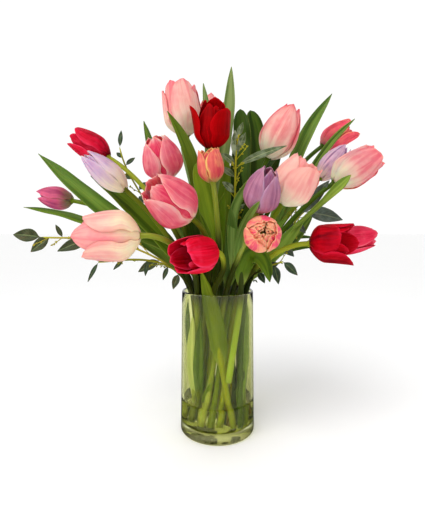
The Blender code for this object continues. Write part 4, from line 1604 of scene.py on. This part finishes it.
def seat(piece: bpy.types.Object, slot: str, *nodes: str) -> bpy.types.Object:
    """Hangs a finished piece on the vase's body in place of its plain solid.

    Args:
        piece: The piece.
        slot: The name of a material slot in the record. Not used.
        nodes: The plain solids it stands for.

    Returns:
        The piece.
    """
    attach(piece, ROOT_BODY)
    if nodes:
        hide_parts(*nodes)
    LOG.info("%s: %d vertices", piece.name, len(piece.data.vertices))
    return piece


# ---- blooms -----------------------------------------------------------------
@dataclass
class Bloom:
    """One tulip's petals, in rings round its axis.

    Its sizes are a petal's grid and thickness, the depth of its middle crease, how far its
    edges tuck in, its back bulges and one edge laps over the next, its fine folds, and the
    small beak at its tip. Each ring has a distance from the axis at its root, and a girth
    as a share of the bloom's.
    """

    name: str
    head: Head
    along: int = 26
    across: int = 18
    thickness: float = 0.5 * MM
    crease: float = 0.5 * MM
    tuck: float = 1.4 * MM
    bulge: float = 0.5 * MM
    wrap: float = 0.5 * MM
    fold: float = 0.3 * MM
    beak: float = 0.7 * MM
    roots: tuple[float, ...] = (INNER_ROOT, OUTER_ROOT, 2.2 * MM, HEART_ROOT)
    girths: tuple[float, ...] = (1.0, 1.0, 0.72, 0.44)

    def belly(self, petal: Petal) -> float:
        """A petal's largest distance from the axis."""
        radius = self.head.radius * MM
        return radius if petal.ring == 1 else (radius - WHORL_GAP) * self.girths[petal.ring]

    @staticmethod
    def standoff(u: float, root: float, radius: float, tip: float) -> float:
        """Distance of a petal's middle line from the axis.

        Args:
            u: Place from root to tip, 0 to 1.
            root: Distance of its root.
            radius: Distance of its belly.
            tip: Its tip's distance as a share of its belly's.

        Returns:
            The distance, in metres.
        """
        if u < BELLY:
            rise = math.sin(u / BELLY * math.pi / 2) ** 0.9
            return root + (radius - root) * rise
        fall = ((u - BELLY) / (1 - BELLY)) ** 2.2
        return radius * (1 - (1 - tip) * fall)

    def surface(self, petal: Petal, chance: random.Random) -> Place:
        """The surface of one petal.

        Args:
            petal: The petal.
            chance: Source of its small differences.

        Returns:
            The point for each place on it.
        """
        foot = point(self.head.foot)
        axis = (point(self.head.tip) - foot).normalized()
        length = (point(self.head.tip) - foot).length * petal.reach
        across = axis.cross(Vector((0, 1, 0))).normalized()
        over = axis.cross(across)
        root, radius = self.roots[petal.ring], self.belly(petal)
        outer = petal.ring == 1
        tuck = self.tuck if outer else 0.3 * MM
        bulge = 0.0 if outer else self.bulge
        wrap = self.wrap if outer else 0.5 * self.wrap
        widest = math.radians(petal.width)
        angle = math.radians(petal.turn + chance.uniform(-2, 2))
        phase = chance.uniform(*PHASES)
        ruffle = self.head.ruffle * MM * chance.uniform(0.8, 1.2)
        lean = chance.uniform(-0.04, 0.04)
        widest_at = self.head.shoulder

        def place(s: float, v: float) -> Vector:
            """A point on the petal.

            Args:
                s: Place from root to tip, 0 to 1.
                v: Place from edge to edge, -1 to 1.

            Returns:
                The point.
            """
            low = min(0.55 + s, 1.0)
            if s > widest_at:
                t = (s - widest_at) / (1 - widest_at)
                y = t * math.sqrt(1 - v * v / 2)
                u = widest_at + (1 - widest_at) * y
                x = v * math.sqrt(1 - t * t / 2) * (1 - petal.taper * y)
            else:
                u = s
                x = v * low
            near_tip = max(u - 0.78, 0.0) / 0.22
            u = u * 1.12 - 0.12 * u * u
            out = self.standoff(u, root, radius, petal.tip)
            clasp = 1 + 0.26 * max(1 - u / 0.45, 0.0)
            spread = widest * min(0.42 + u * 2.4, 1.0) * clasp
            half = min(widest * radius / out, spread / low)
            turn = angle - (half * x + lean * u)
            bend = petal.peel * radius * u**2.5
            rise = min(u * 4, 1.0)
            rib = math.exp(-((v / 0.1) ** 2)) * self.crease * rise * (1 - 0.5 * near_tip)
            folds = self.fold * math.cos(v * 8 + phase) * rise
            edge = abs(v) ** 3
            free = min(max(u - 0.42, 0.0) * 3, 1.0)
            wave = ruffle * edge * (0.5 + 0.5 * math.sin(u * 19 + phase + v * 2)) * free
            wave += ruffle * 0.7 * near_tip * math.sin(v * 8 + phase)
            out += folds + wave - rib - tuck * v * v * rise * (1 - 0.5 * near_tip)
            out += bulge * (1 - v * v) * rise + self.head.lip * MM * near_tip**2
            out += wrap * v**3 * rise
            height = PETAL_ROOT_HEIGHT + (length - PETAL_ROOT_HEIGHT) * u**1.1 - 0.25 * bend
            height += self.beak * near_tip * math.exp(-((v / 0.2) ** 2))
            height += 0.35 * ruffle * near_tip * math.sin(v * 13 + phase * 2)
            round_axis = across * math.cos(turn) + over * math.sin(turn)
            return foot + axis * height + round_axis * max(out + bend, 0.5 * MM)

        return place

    def build(self) -> bpy.types.Object:
        """Draws the petals as one piece.

        Returns:
            The bloom.
        """
        drawing = Drawing()
        chance = random.Random(self.name)
        for petal in self.head.petals:
            seed = chance.random() + (0 if petal.ring == 1 else 1)
            drawing.sheet(self.along, self.across, self.surface(petal, chance), seed)
        return drawing.piece(self.name + "_petals", self.dress())

    def dress(self) -> list[bpy.types.Material]:
        """The petals' outer and inner materials."""
        finish = self.head.finish
        return [finish.material(self.name + "_petal"), finish.inner(self.name + "_petal_inner")]

    def stamens(self) -> bpy.types.Object:
        """The stamens round the pistil, each a filament with its anther.

        Returns:
            The piece.
        """
        drawing = Drawing()
        chance = random.Random(self.name + "stamens")
        foot = point(self.head.foot)
        axis = (point(self.head.tip) - foot).normalized()
        across = axis.orthogonal().normalized()
        over = axis.cross(across)
        for i in range(STAMENS):
            angle = math.radians(360 / STAMENS * i + chance.uniform(-8, 8))
            out = across * math.cos(angle) + over * math.sin(angle)
            line = [foot + (axis * up + out * away) * MM for up, away, _ in STAMEN]
            drawing.tube(line, [radius * MM for *_, radius in STAMEN], 6, chance.random())
            lean = (axis + out * 0.12).normalized()
            drawing.bead(line[-1] + lean * 3 * MM, lean, 3.6 * MM, 1.1 * MM, chance.random())
        finish = plant_material(
            self.name + "_anther", Markings.STALK, ANTHER_COLOURS, 0.2 * MM, 0.05
        )
        return drawing.piece(self.name + "_stamens", [finish])

    def place(self) -> None:
        """Builds, thickens and seats the bloom and its stamens."""
        piece = self.build()
        thicken(piece, self.thickness, 1)
        seat(piece, self.name + "_petals", self.name + "_bloom")
        seat(self.stamens(), self.name + "_petals")


# ---- stalks and leaves ------------------------------------------------------
@dataclass
class Stalk:
    """One tulip's stalk, with its leaves clasping it."""

    name: str
    finish: GreenFinish = field(default_factory=GreenFinish)
    steps: int = 16
    sides: int = 14
    leaf_thickness: float = 0.7 * MM
    leaf_along: int = 36
    leaf_across: int = 12

    def line(self) -> list[Vector]:
        """The stalk's middle line."""
        return stem_line(self.name, self.steps)

    def stalk(self) -> bpy.types.Object:
        """The stalk, swelling into the seat of its bloom.

        Returns:
            The piece.
        """
        line = self.line()
        chance = random.Random(self.name + "stalk")
        last = len(line) - 1
        knots = [chance.uniform(0.1, 0.35), chance.uniform(0.4, 0.55)]
        radii = []
        for i in range(last + 1):
            share = i / last
            radius = STEM_FOOT_RADIUS + (STEM_TOP_RADIUS - STEM_FOOT_RADIUS) * share
            swell = sum(math.exp(-(((share - knot) / 0.012) ** 2)) for knot in knots)
            radii.append(radius * (1 + 0.12 * swell))
        radii[0] *= 0.9
        axis = (point(HEADS[self.name].tip) - line[-1]).normalized()
        top = line[-1]
        for up, radius in PISTIL:
            line.append(top + axis * up * MM)
            radii.append(radius * MM)
        drawing = Drawing()
        foot = line[0] + (line[0] - line[1]).normalized() * 0.4 * MM
        drawing.tube([foot, *line], [radii[0] * 0.8, *radii], self.sides, chance.random())
        piece = drawing.piece(self.name + "_stalk", [self.finish.stem(self.name + "_stalk")])
        return seat(piece, self.name + "_green", self.name + "_stem")

    def leaf_surface(self, leaf: Leaf, chance: random.Random) -> Place:
        """The surface of one leaf.

        Args:
            leaf: The leaf.
            chance: Source of its waves.

        Returns:
            The point for each place on it.
        """
        root, way = at_height(self.line(), leaf.height * MM)
        middle, tip = point(leaf.middle), point(leaf.tip)
        face = Vector(leaf.face).normalized()
        first, second = middle - root, tip - middle
        at_middle = (first.normalized() + second.normalized()).normalized()
        at_tip = (second.normalized() * 1.6 - at_middle * 0.6).normalized()
        tangents = (
            (way * first.length * 0.8, at_middle * first.length),
            (at_middle * second.length, at_tip * second.length),
        )
        phase = chance.uniform(*PHASES)
        wave = chance.uniform(0.05, 0.11) * leaf.half_width * MM
        twist = chance.uniform(-0.25, 0.25)

        def place(u: float, v: float) -> Vector:
            """A point on the leaf.

            Args:
                u: Place from root to tip, 0 to 1.
                v: Place from edge to edge, -1 to 1.

            Returns:
                The point.
            """
            points = (root, middle, tip)
            here = hermite(points, tangents, u)
            back = hermite(points, tangents, max(u - 0.02, 0.0))
            ahead = hermite(points, tangents, min(u + 0.02, 1.0))
            run = (ahead - back).normalized()
            side = run.cross(face).normalized()
            out = side.cross(run)
            side, out = (
                side * math.cos(twist * u) + out * math.sin(twist * u),
                out * math.cos(twist * u) - side * math.sin(twist * u),
            )
            half = leaf.half_width * MM * self.leaf_width(u, leaf.blunt, leaf.widest)
            clasp = max(1 - u / 0.12, 0.0) ** 2
            bow = (leaf.channel * 1.7) * (1 - clasp) + math.copysign(1.5, leaf.channel) * clasp
            angle = bow * v
            arc = half / bow
            across = side * math.sin(angle) * arc + out * (1 - math.cos(angle)) * arc
            ripple = wave * abs(v) ** 2 * math.sin(u * 17 + phase + v) * min(u * 3, 1.0)
            rib = -0.35 * MM * math.exp(-((v / 0.12) ** 2)) * (1 - u)
            grip = out * -math.copysign(STEM_TOP_RADIUS + 0.6 * MM, leaf.channel) * clasp
            return here + across + out * (ripple + rib) + grip

        return place

    @staticmethod
    def leaf_width(u: float, blunt: float, widest: float) -> float:
        """A leaf's width as a share of its widest.

        Args:
            u: Place from root to tip, 0 to 1.
            blunt: How round its tip is, 0 to 1.
            widest: Where it is widest, 0 to 1.

        Returns:
            The share.
        """
        rise = min(u / widest, 1.0)
        fall = min(max((u - widest) / (1 - widest), 0.0), 1.0)
        sheath = min(0.26 + 0.74 * rise ** (3.6 * widest) * (3 - 2 * rise), 1.0)
        return sheath * max((1 - fall ** (2.3 + 2.5 * blunt)) ** (0.9 - 0.35 * blunt), 0.02)

    def leaves(self) -> bpy.types.Object | None:
        """All of the stalk's leaves as one piece.

        Returns:
            The piece, or None where the stalk has no leaves left.
        """
        drawing = Drawing()
        chance = random.Random(self.name + "leaves")
        for leaves, base, spread in LEAF_GROUPS:
            for leaf in leaves:
                if leaf.stem == self.name:
                    surface = self.leaf_surface(leaf, chance)
                    seed = base + spread * chance.random()
                    drawing.sheet(self.leaf_along, self.leaf_across, surface, seed)
        if not drawing.work.verts:
            drawing.work.free()
            return None
        piece = drawing.piece(self.name + "_leaves", [self.finish.leaf(self.name + "_leaf")])
        thicken(piece, self.leaf_thickness)
        return seat(piece, self.name + "_green")

    def place(self) -> None:
        """Builds and seats the stalk and its leaves."""
        self.stalk()
        self.leaves()


# ---- eucalyptus -------------------------------------------------------------
@dataclass
class Spray:
    """One eucalyptus spray: its twig, its stalked leaves and its buds."""

    name: str
    finish: SprayFinish = field(default_factory=SprayFinish)
    steps: int = 14
    sides: int = 8
    leaf_thickness: float = 0.5 * MM
    bud_twigs: int = 5

    def line(self) -> list[Vector]:
        """The twig's middle line."""
        return stem_line(self.name, self.steps)

    def free_line(self) -> list[Vector]:
        """The part of the middle line above the vase's rim."""
        return self.line()[self.steps:]

    def leaf_surface(self, share: float, way: Triple, length: float, width: float) -> Place:
        """The surface of one leaf.

        Args:
            share: Where on the free twig it grows.
            way: The way it points.
            length: Its length in millimetres.
            width: Its width in millimetres.

        Returns:
            The point for each place on it.
        """
        root, _ = at_share(self.free_line(), share)
        toward = Vector(way).normalized()
        view = Vector((0, -1, 0.35)).normalized()
        if abs(toward.dot(view)) > 0.8:
            view = Vector((0, 0, 1))
        side = toward.cross(view).normalized()
        out = side.cross(toward)

        def place(u: float, v: float) -> Vector:
            """A point on the leaf.

            Args:
                u: Place from root to tip, 0 to 1.
                v: Place from edge to edge, -1 to 1.

            Returns:
                The point.
            """
            bulge = math.sin(math.pi * min(max(u - 0.1, 0.0) / 0.9, 0.999) ** 0.8) ** 0.85
            half = width * MM / 2 * max(bulge, 0.045)
            droop = Vector((0, 0, -0.1 * length * MM * u * u))
            here = root + toward * length * MM * u + droop
            cup = 0.22 * half * abs(v) ** 1.4
            wave = 0.05 * half * math.sin(u * 14 + v * 3)
            return here + side * half * v + out * (cup + wave)

        return place

    def twig(self) -> bpy.types.Object:
        """The twig with its side twigs and buds.

        Returns:
            The piece.
        """
        drawing = Drawing()
        chance = random.Random(self.name + "twig")
        line = self.line()
        last = len(line) - 1
        radii = [
            TWIG_FOOT_RADIUS + (TWIG_TOP_RADIUS - TWIG_FOOT_RADIUS) * i / last
            for i in range(last + 1)
        ]
        radii[-1] *= 0.6
        drawing.tube(line, radii, self.sides, chance.random())
        free = self.free_line()
        for i in range(self.bud_twigs):
            share = 0.3 + 0.68 * (i + chance.random() * 0.8) / self.bud_twigs
            self.bud_twig(drawing, free, share, chance)
        piece = drawing.piece(self.name + "_twig", [self.finish.stem(self.name + "_twig")])
        return seat(piece, self.name + "_grey")

    @staticmethod
    def bud_twig(drawing: Drawing, free: list[Vector], share: float, chance: random.Random) -> None:
        """One short side twig with a few buds at its end.

        Args:
            drawing: The piece being drawn.
            free: The free part of the twig's middle line.
            share: Where the side twig grows.
            chance: Source of its small differences.
        """
        root, run = at_share(free, share)
        side = run.orthogonal().normalized()
        angle = chance.uniform(*PHASES)
        over = run.cross(side)
        way = side * math.cos(angle) + over * math.sin(angle) + run * 0.9
        way = (way + Vector((0, -0.25, 0.15))).normalized()
        length = chance.uniform(10, 20) * MM
        bend = Vector((0, 0, chance.uniform(-2, 3) * MM))
        line = [root + way * length * s + bend * s * s for s, _ in BUD_TWIG]
        drawing.tube(line, [radius * MM for _, radius in BUD_TWIG], 5, chance.random())
        for place, count in BUDS:
            centre = root + way * length * place + bend * place * place
            for _ in range(count):
                lean = Vector([chance.uniform(-0.8, 0.8) for _ in range(3)])
                toward = (way + lean).normalized()
                bead = centre + toward * 1.9 * MM
                drawing.bead(bead, toward, 1.7 * MM, 0.8 * MM, chance.random())

    def leaves(self) -> bpy.types.Object:
        """The leaves with their short stalks.

        Returns:
            The piece.
        """
        drawing = Drawing()
        chance = random.Random(self.name)
        for share, way, length, width in SPRAY_LEAVES[self.name]:
            surface = self.leaf_surface(share, way, length, width)
            drawing.sheet(16, 8, surface, chance.random())
        piece = drawing.piece(self.name + "_leaves", [self.finish.leaf(self.name + "_leaf")])
        thicken(piece, self.leaf_thickness)
        return seat(piece, self.name + "_grey", self.name)

    def place(self) -> None:
        """Builds and seats the twig and its leaves."""
        self.twig()
        self.leaves()


# ---- glass and water --------------------------------------------------------
def turned(name: str, profile: Sequence[tuple[float, float]], steps: int = 128) -> Drawing:
    """Spins a profile round the vase's axis.

    Args:
        name: The piece's name.
        profile: Radius and height of each point, in metres.
        steps: Faces round the axis.

    Returns:
        The drawing of the turned body.
    """
    drawing = Drawing()
    work = drawing.work
    verts = [work.verts.new((x, 0, z)) for x, z in profile]
    edges = [work.edges.new(pair) for pair in zip(verts, verts[1:])]
    bmesh.ops.spin(
        work,
        geom=verts + edges,
        cent=(0, 0, 0),
        axis=(0, 0, 1),
        angle=math.tau,
        steps=steps,
        use_merge=True,
    )
    bmesh.ops.remove_doubles(work, verts=work.verts, dist=1e-6)
    bmesh.ops.recalc_face_normals(work, faces=work.faces)
    LOG.info("%s turned in %d steps", name, steps)
    return drawing


def wall_radius(height: float) -> float:
    """The vase's outer radius at a height."""
    return VASE_BASE_RADIUS + (VASE_RIM_RADIUS - VASE_BASE_RADIUS) * height / VASE_HEIGHT


def rounded(centre: tuple[float, float], radius: float, start: float, end: float, steps: int) -> list:
    """Points round an arc of a profile.

    Args:
        centre: The arc's centre.
        radius: Its radius.
        start: Its first angle in degrees.
        end: Its last angle in degrees.
        steps: How many steps it takes.

    Returns:
        The points.
    """
    angles = [math.radians(start + (end - start) * i / steps) for i in range(steps + 1)]
    return [(centre[0] + radius * math.cos(a), centre[1] + radius * math.sin(a)) for a in angles]


@dataclass
class Vase:
    """The glass cylinder with its thick floor, and the water in it.

    Its sizes are the foot's outer and inner corners, the hollow under it, how far the water
    climbs up the glass, and how far it reaches into the glass so that no gap shows.
    """

    # Each clear finish: tint, refraction, waviness, wave scale, the painted shade tints at a slant and in
    # the foot, and for the water its shine.
    glass: ClearFinish = ClearFinish(
        tone(242, 243, 200), 1.46, 0.12 * MM, 28.0, tone(188, 194, 130), tone(150, 146, 112)
    )
    water_finish: ClearFinish = ClearFinish(
        tone(240, 242, 216), 1.33, 0.15 * MM, 40.0, tone(220, 222, 180), tone(228, 228, 196), 0.3
    )
    corner: float = 4 * MM
    inner_corner: float = 5 * MM
    hollow: float = 0.9 * MM
    meniscus: float = 1.6 * MM
    wet: float = 0.12 * MM

    def body(self) -> bpy.types.Object:
        """The glass.

        Returns:
            The piece.
        """
        half = VASE_WALL / 2
        middle = VASE_RIM_RADIUS - half
        low = self.corner
        floor_radius = wall_radius(VASE_FLOOR) - VASE_WALL
        profile = rounded((middle, VASE_HEIGHT - half), half, 90, 0, 6)
        heights = [VASE_HEIGHT * (0.9 - 0.1 * i) for i in range(9)]
        profile += [(wall_radius(z), z) for z in heights]
        profile += rounded((VASE_BASE_RADIUS - low, low), low, 0, -90, 6)
        profile += [(VASE_BASE_RADIUS - low - 3 * MM, 0)]
        profile += [(VASE_BASE_RADIUS - 12 * MM, self.hollow), (0, self.hollow)]
        profile += [(0, VASE_FLOOR), (floor_radius * 0.6, VASE_FLOOR)]
        turn = self.inner_corner
        profile += rounded((floor_radius - turn, VASE_FLOOR + turn), turn, -90, 0, 6)
        heights = [VASE_HEIGHT * (0.2 + 0.1 * i) for i in range(8)]
        profile += [(wall_radius(z) - VASE_WALL, z) for z in heights]
        profile += rounded((middle, VASE_HEIGHT - half), half, 180, 90, 6)
        drawing = turned("vase_glass", profile)
        piece = drawing.piece("vase_glass_body", [self.glass.material("vase_clear_glass")])
        return seat(piece, "vase_glass", "vase")

    def water(self) -> bpy.types.Object:
        """The water, climbing a little up the glass.

        Returns:
            The piece.
        """
        wet, turn = self.wet, self.inner_corner
        top = WATER_TOP + self.meniscus
        inner = wall_radius(WATER_TOP) - VASE_WALL
        floor_radius = wall_radius(VASE_FLOOR) - VASE_WALL
        profile = [(0, WATER_TOP), (inner * 0.5, WATER_TOP), (inner - 4 * MM, WATER_TOP)]
        profile += [(inner - 2 * MM, WATER_TOP + 0.25 * MM), (inner - 0.8 * MM, WATER_TOP + 0.7 * MM)]
        profile += [(inner + wet, top), (inner + wet, WATER_TOP - 2 * MM)]
        corner = (floor_radius - turn, VASE_FLOOR + turn)
        profile += rounded(corner, turn + wet, 0, -90, 6)
        profile += [(0, VASE_FLOOR - wet)]
        drawing = turned("vase_water", profile)
        piece = drawing.piece("vase_water_body", [self.water_finish.material("clear_water")])
        return seat(piece, "water_clear", "water")

    def place(self) -> None:
        """Builds and seats the glass and the water."""
        self.body()
        self.water()


# ---- studio -----------------------------------------------------------------
# Soft boxes: where each stands, its size in metres and its power in watts. The front one
# isn't seen in the glass.
SOFT_BOXES: dict[str, tuple[Triple, float, float]] = {
    "left_box": ((-1.0, -0.5, 0.7), 0.7, 3.0),
    "right_box": ((1.1, -0.2, 0.6), 0.5, 2.0),
    "front_box": ((0.2, -1.3, 0.22), 0.8, 3.0),
}


@dataclass
class Studio:
    """A pale floor, a bright backdrop, soft light from above, and the camera."""

    eye: Triple = (-0.007, -0.535, 0.29)
    pitch: float = 4.8
    lens: float = 26.91
    floor_size: float = 24.0
    room: float = 0.36
    under_table: float = 0.06
    backdrop: float = 1.03
    sun_power: float = 1.95
    sun_softness: float = 46.0
    target: Triple = (0, 0, 0.25)
    floor_tones: tuple[Colour, Colour] = ((0.975, 0.975, 0.97), (0.985, 0.985, 0.985))

    def floor(self) -> None:
        """A wide pale floor under the vase."""
        drawing = Drawing()
        size = self.floor_size
        drawing.sheet(1, 1, lambda u, v: Vector(((u - 0.5) * size, v * size / 2, 0)), 0.0)
        made = bpy.data.materials.new("pale_floor")
        made.use_nodes = True
        graph = Graph(made.node_tree)
        shader = made.node_tree.nodes["Principled BSDF"]
        cloud = graph.noise(graph.node("TexCoord").outputs["Object"], 3.0, 2.0)
        graph.feed(shader.inputs["Base Color"], graph.mix(cloud, *self.floor_tones))
        shader.inputs["Roughness"].default_value = 0.8
        floor = drawing.piece("studio_floor", [made])
        floor.visible_glossy = False

    def light(self) -> None:
        """A room that is bright behind the flowers, a broad sun and two soft boxes."""
        world = bpy.data.worlds.new("studio")
        world.use_nodes = True
        bpy.context.scene.world = world
        graph = Graph(world.node_tree)
        background = world.node_tree.nodes["Background"]
        background.inputs["Color"].default_value = (1.0, 1.0, 1.0, 1.0)
        _, away, up = graph.split(graph.node("TexCoord").outputs["Generated"])
        behind = graph.ease(away, 0.3, 0.74)
        bright = graph.math("MULTIPLY_ADD", behind, self.backdrop - self.room, self.room)
        above = graph.math("MAXIMUM", graph.ease(up, -0.14, -0.05), self.under_table)
        graph.feed(background.inputs["Strength"], graph.times(bright, above))
        sun = bpy.data.lights.new("sun", "SUN")
        sun.energy = self.sun_power
        sun.angle = math.radians(self.sun_softness)
        self.aim(sun, (-0.45, -0.75, 1.5))
        for name, (at, size, power) in SOFT_BOXES.items():
            box = bpy.data.lights.new(name, "AREA")
            box.energy = power
            box.size = size
            lamp = self.aim(box, at)
            lamp.visible_glossy = name != "front_box"

    def aim(self, data: bpy.types.Light, at: Triple) -> bpy.types.Object:
        """Places a light and turns it towards the bunch.

        Args:
            data: The light.
            at: Where it stands.

        Returns:
            The lamp.
        """
        lamp = bpy.data.objects.new(data.name, data)
        lamp.location = at
        way = Vector(self.target) - Vector(at)
        lamp.rotation_euler = way.to_track_quat("-Z", "Y").to_euler()
        bpy.context.scene.collection.objects.link(lamp)
        return lamp

    def camera(self) -> None:
        """The camera at eye level with the blooms."""
        data = bpy.data.cameras.new("camera")
        data.lens = self.lens
        data.clip_start = 0.01
        made = bpy.data.objects.new("camera", data)
        made.location = self.eye
        made.rotation_euler = (math.radians(90 - self.pitch), 0, 0)
        bpy.context.scene.collection.objects.link(made)
        bpy.context.scene.camera = made

    def place(self) -> None:
        """Sets up the floor, the lights and the camera."""
        bpy.context.scene.view_settings.view_transform = "Standard"
        self.floor()
        self.light()
        self.camera()


def main() -> None:
    """Builds every piece in order and reports each one."""
    logging.basicConfig(level=logging.INFO, format="%(message)s")
    Vase().place()
    for name, head in HEADS.items():
        Stalk(name, GREENS.get(name, GreenFinish())).place()
        Bloom(name, head).place()
    for name in SPRAY_LEAVES:
        buds = BUD_TWIGS.get(name, Spray.bud_twigs)
        Spray(name, SPRAYS.get(name, SprayFinish()), bud_twigs=buds).place()
    Studio().place()


if __name__ == "__main__":
    main()
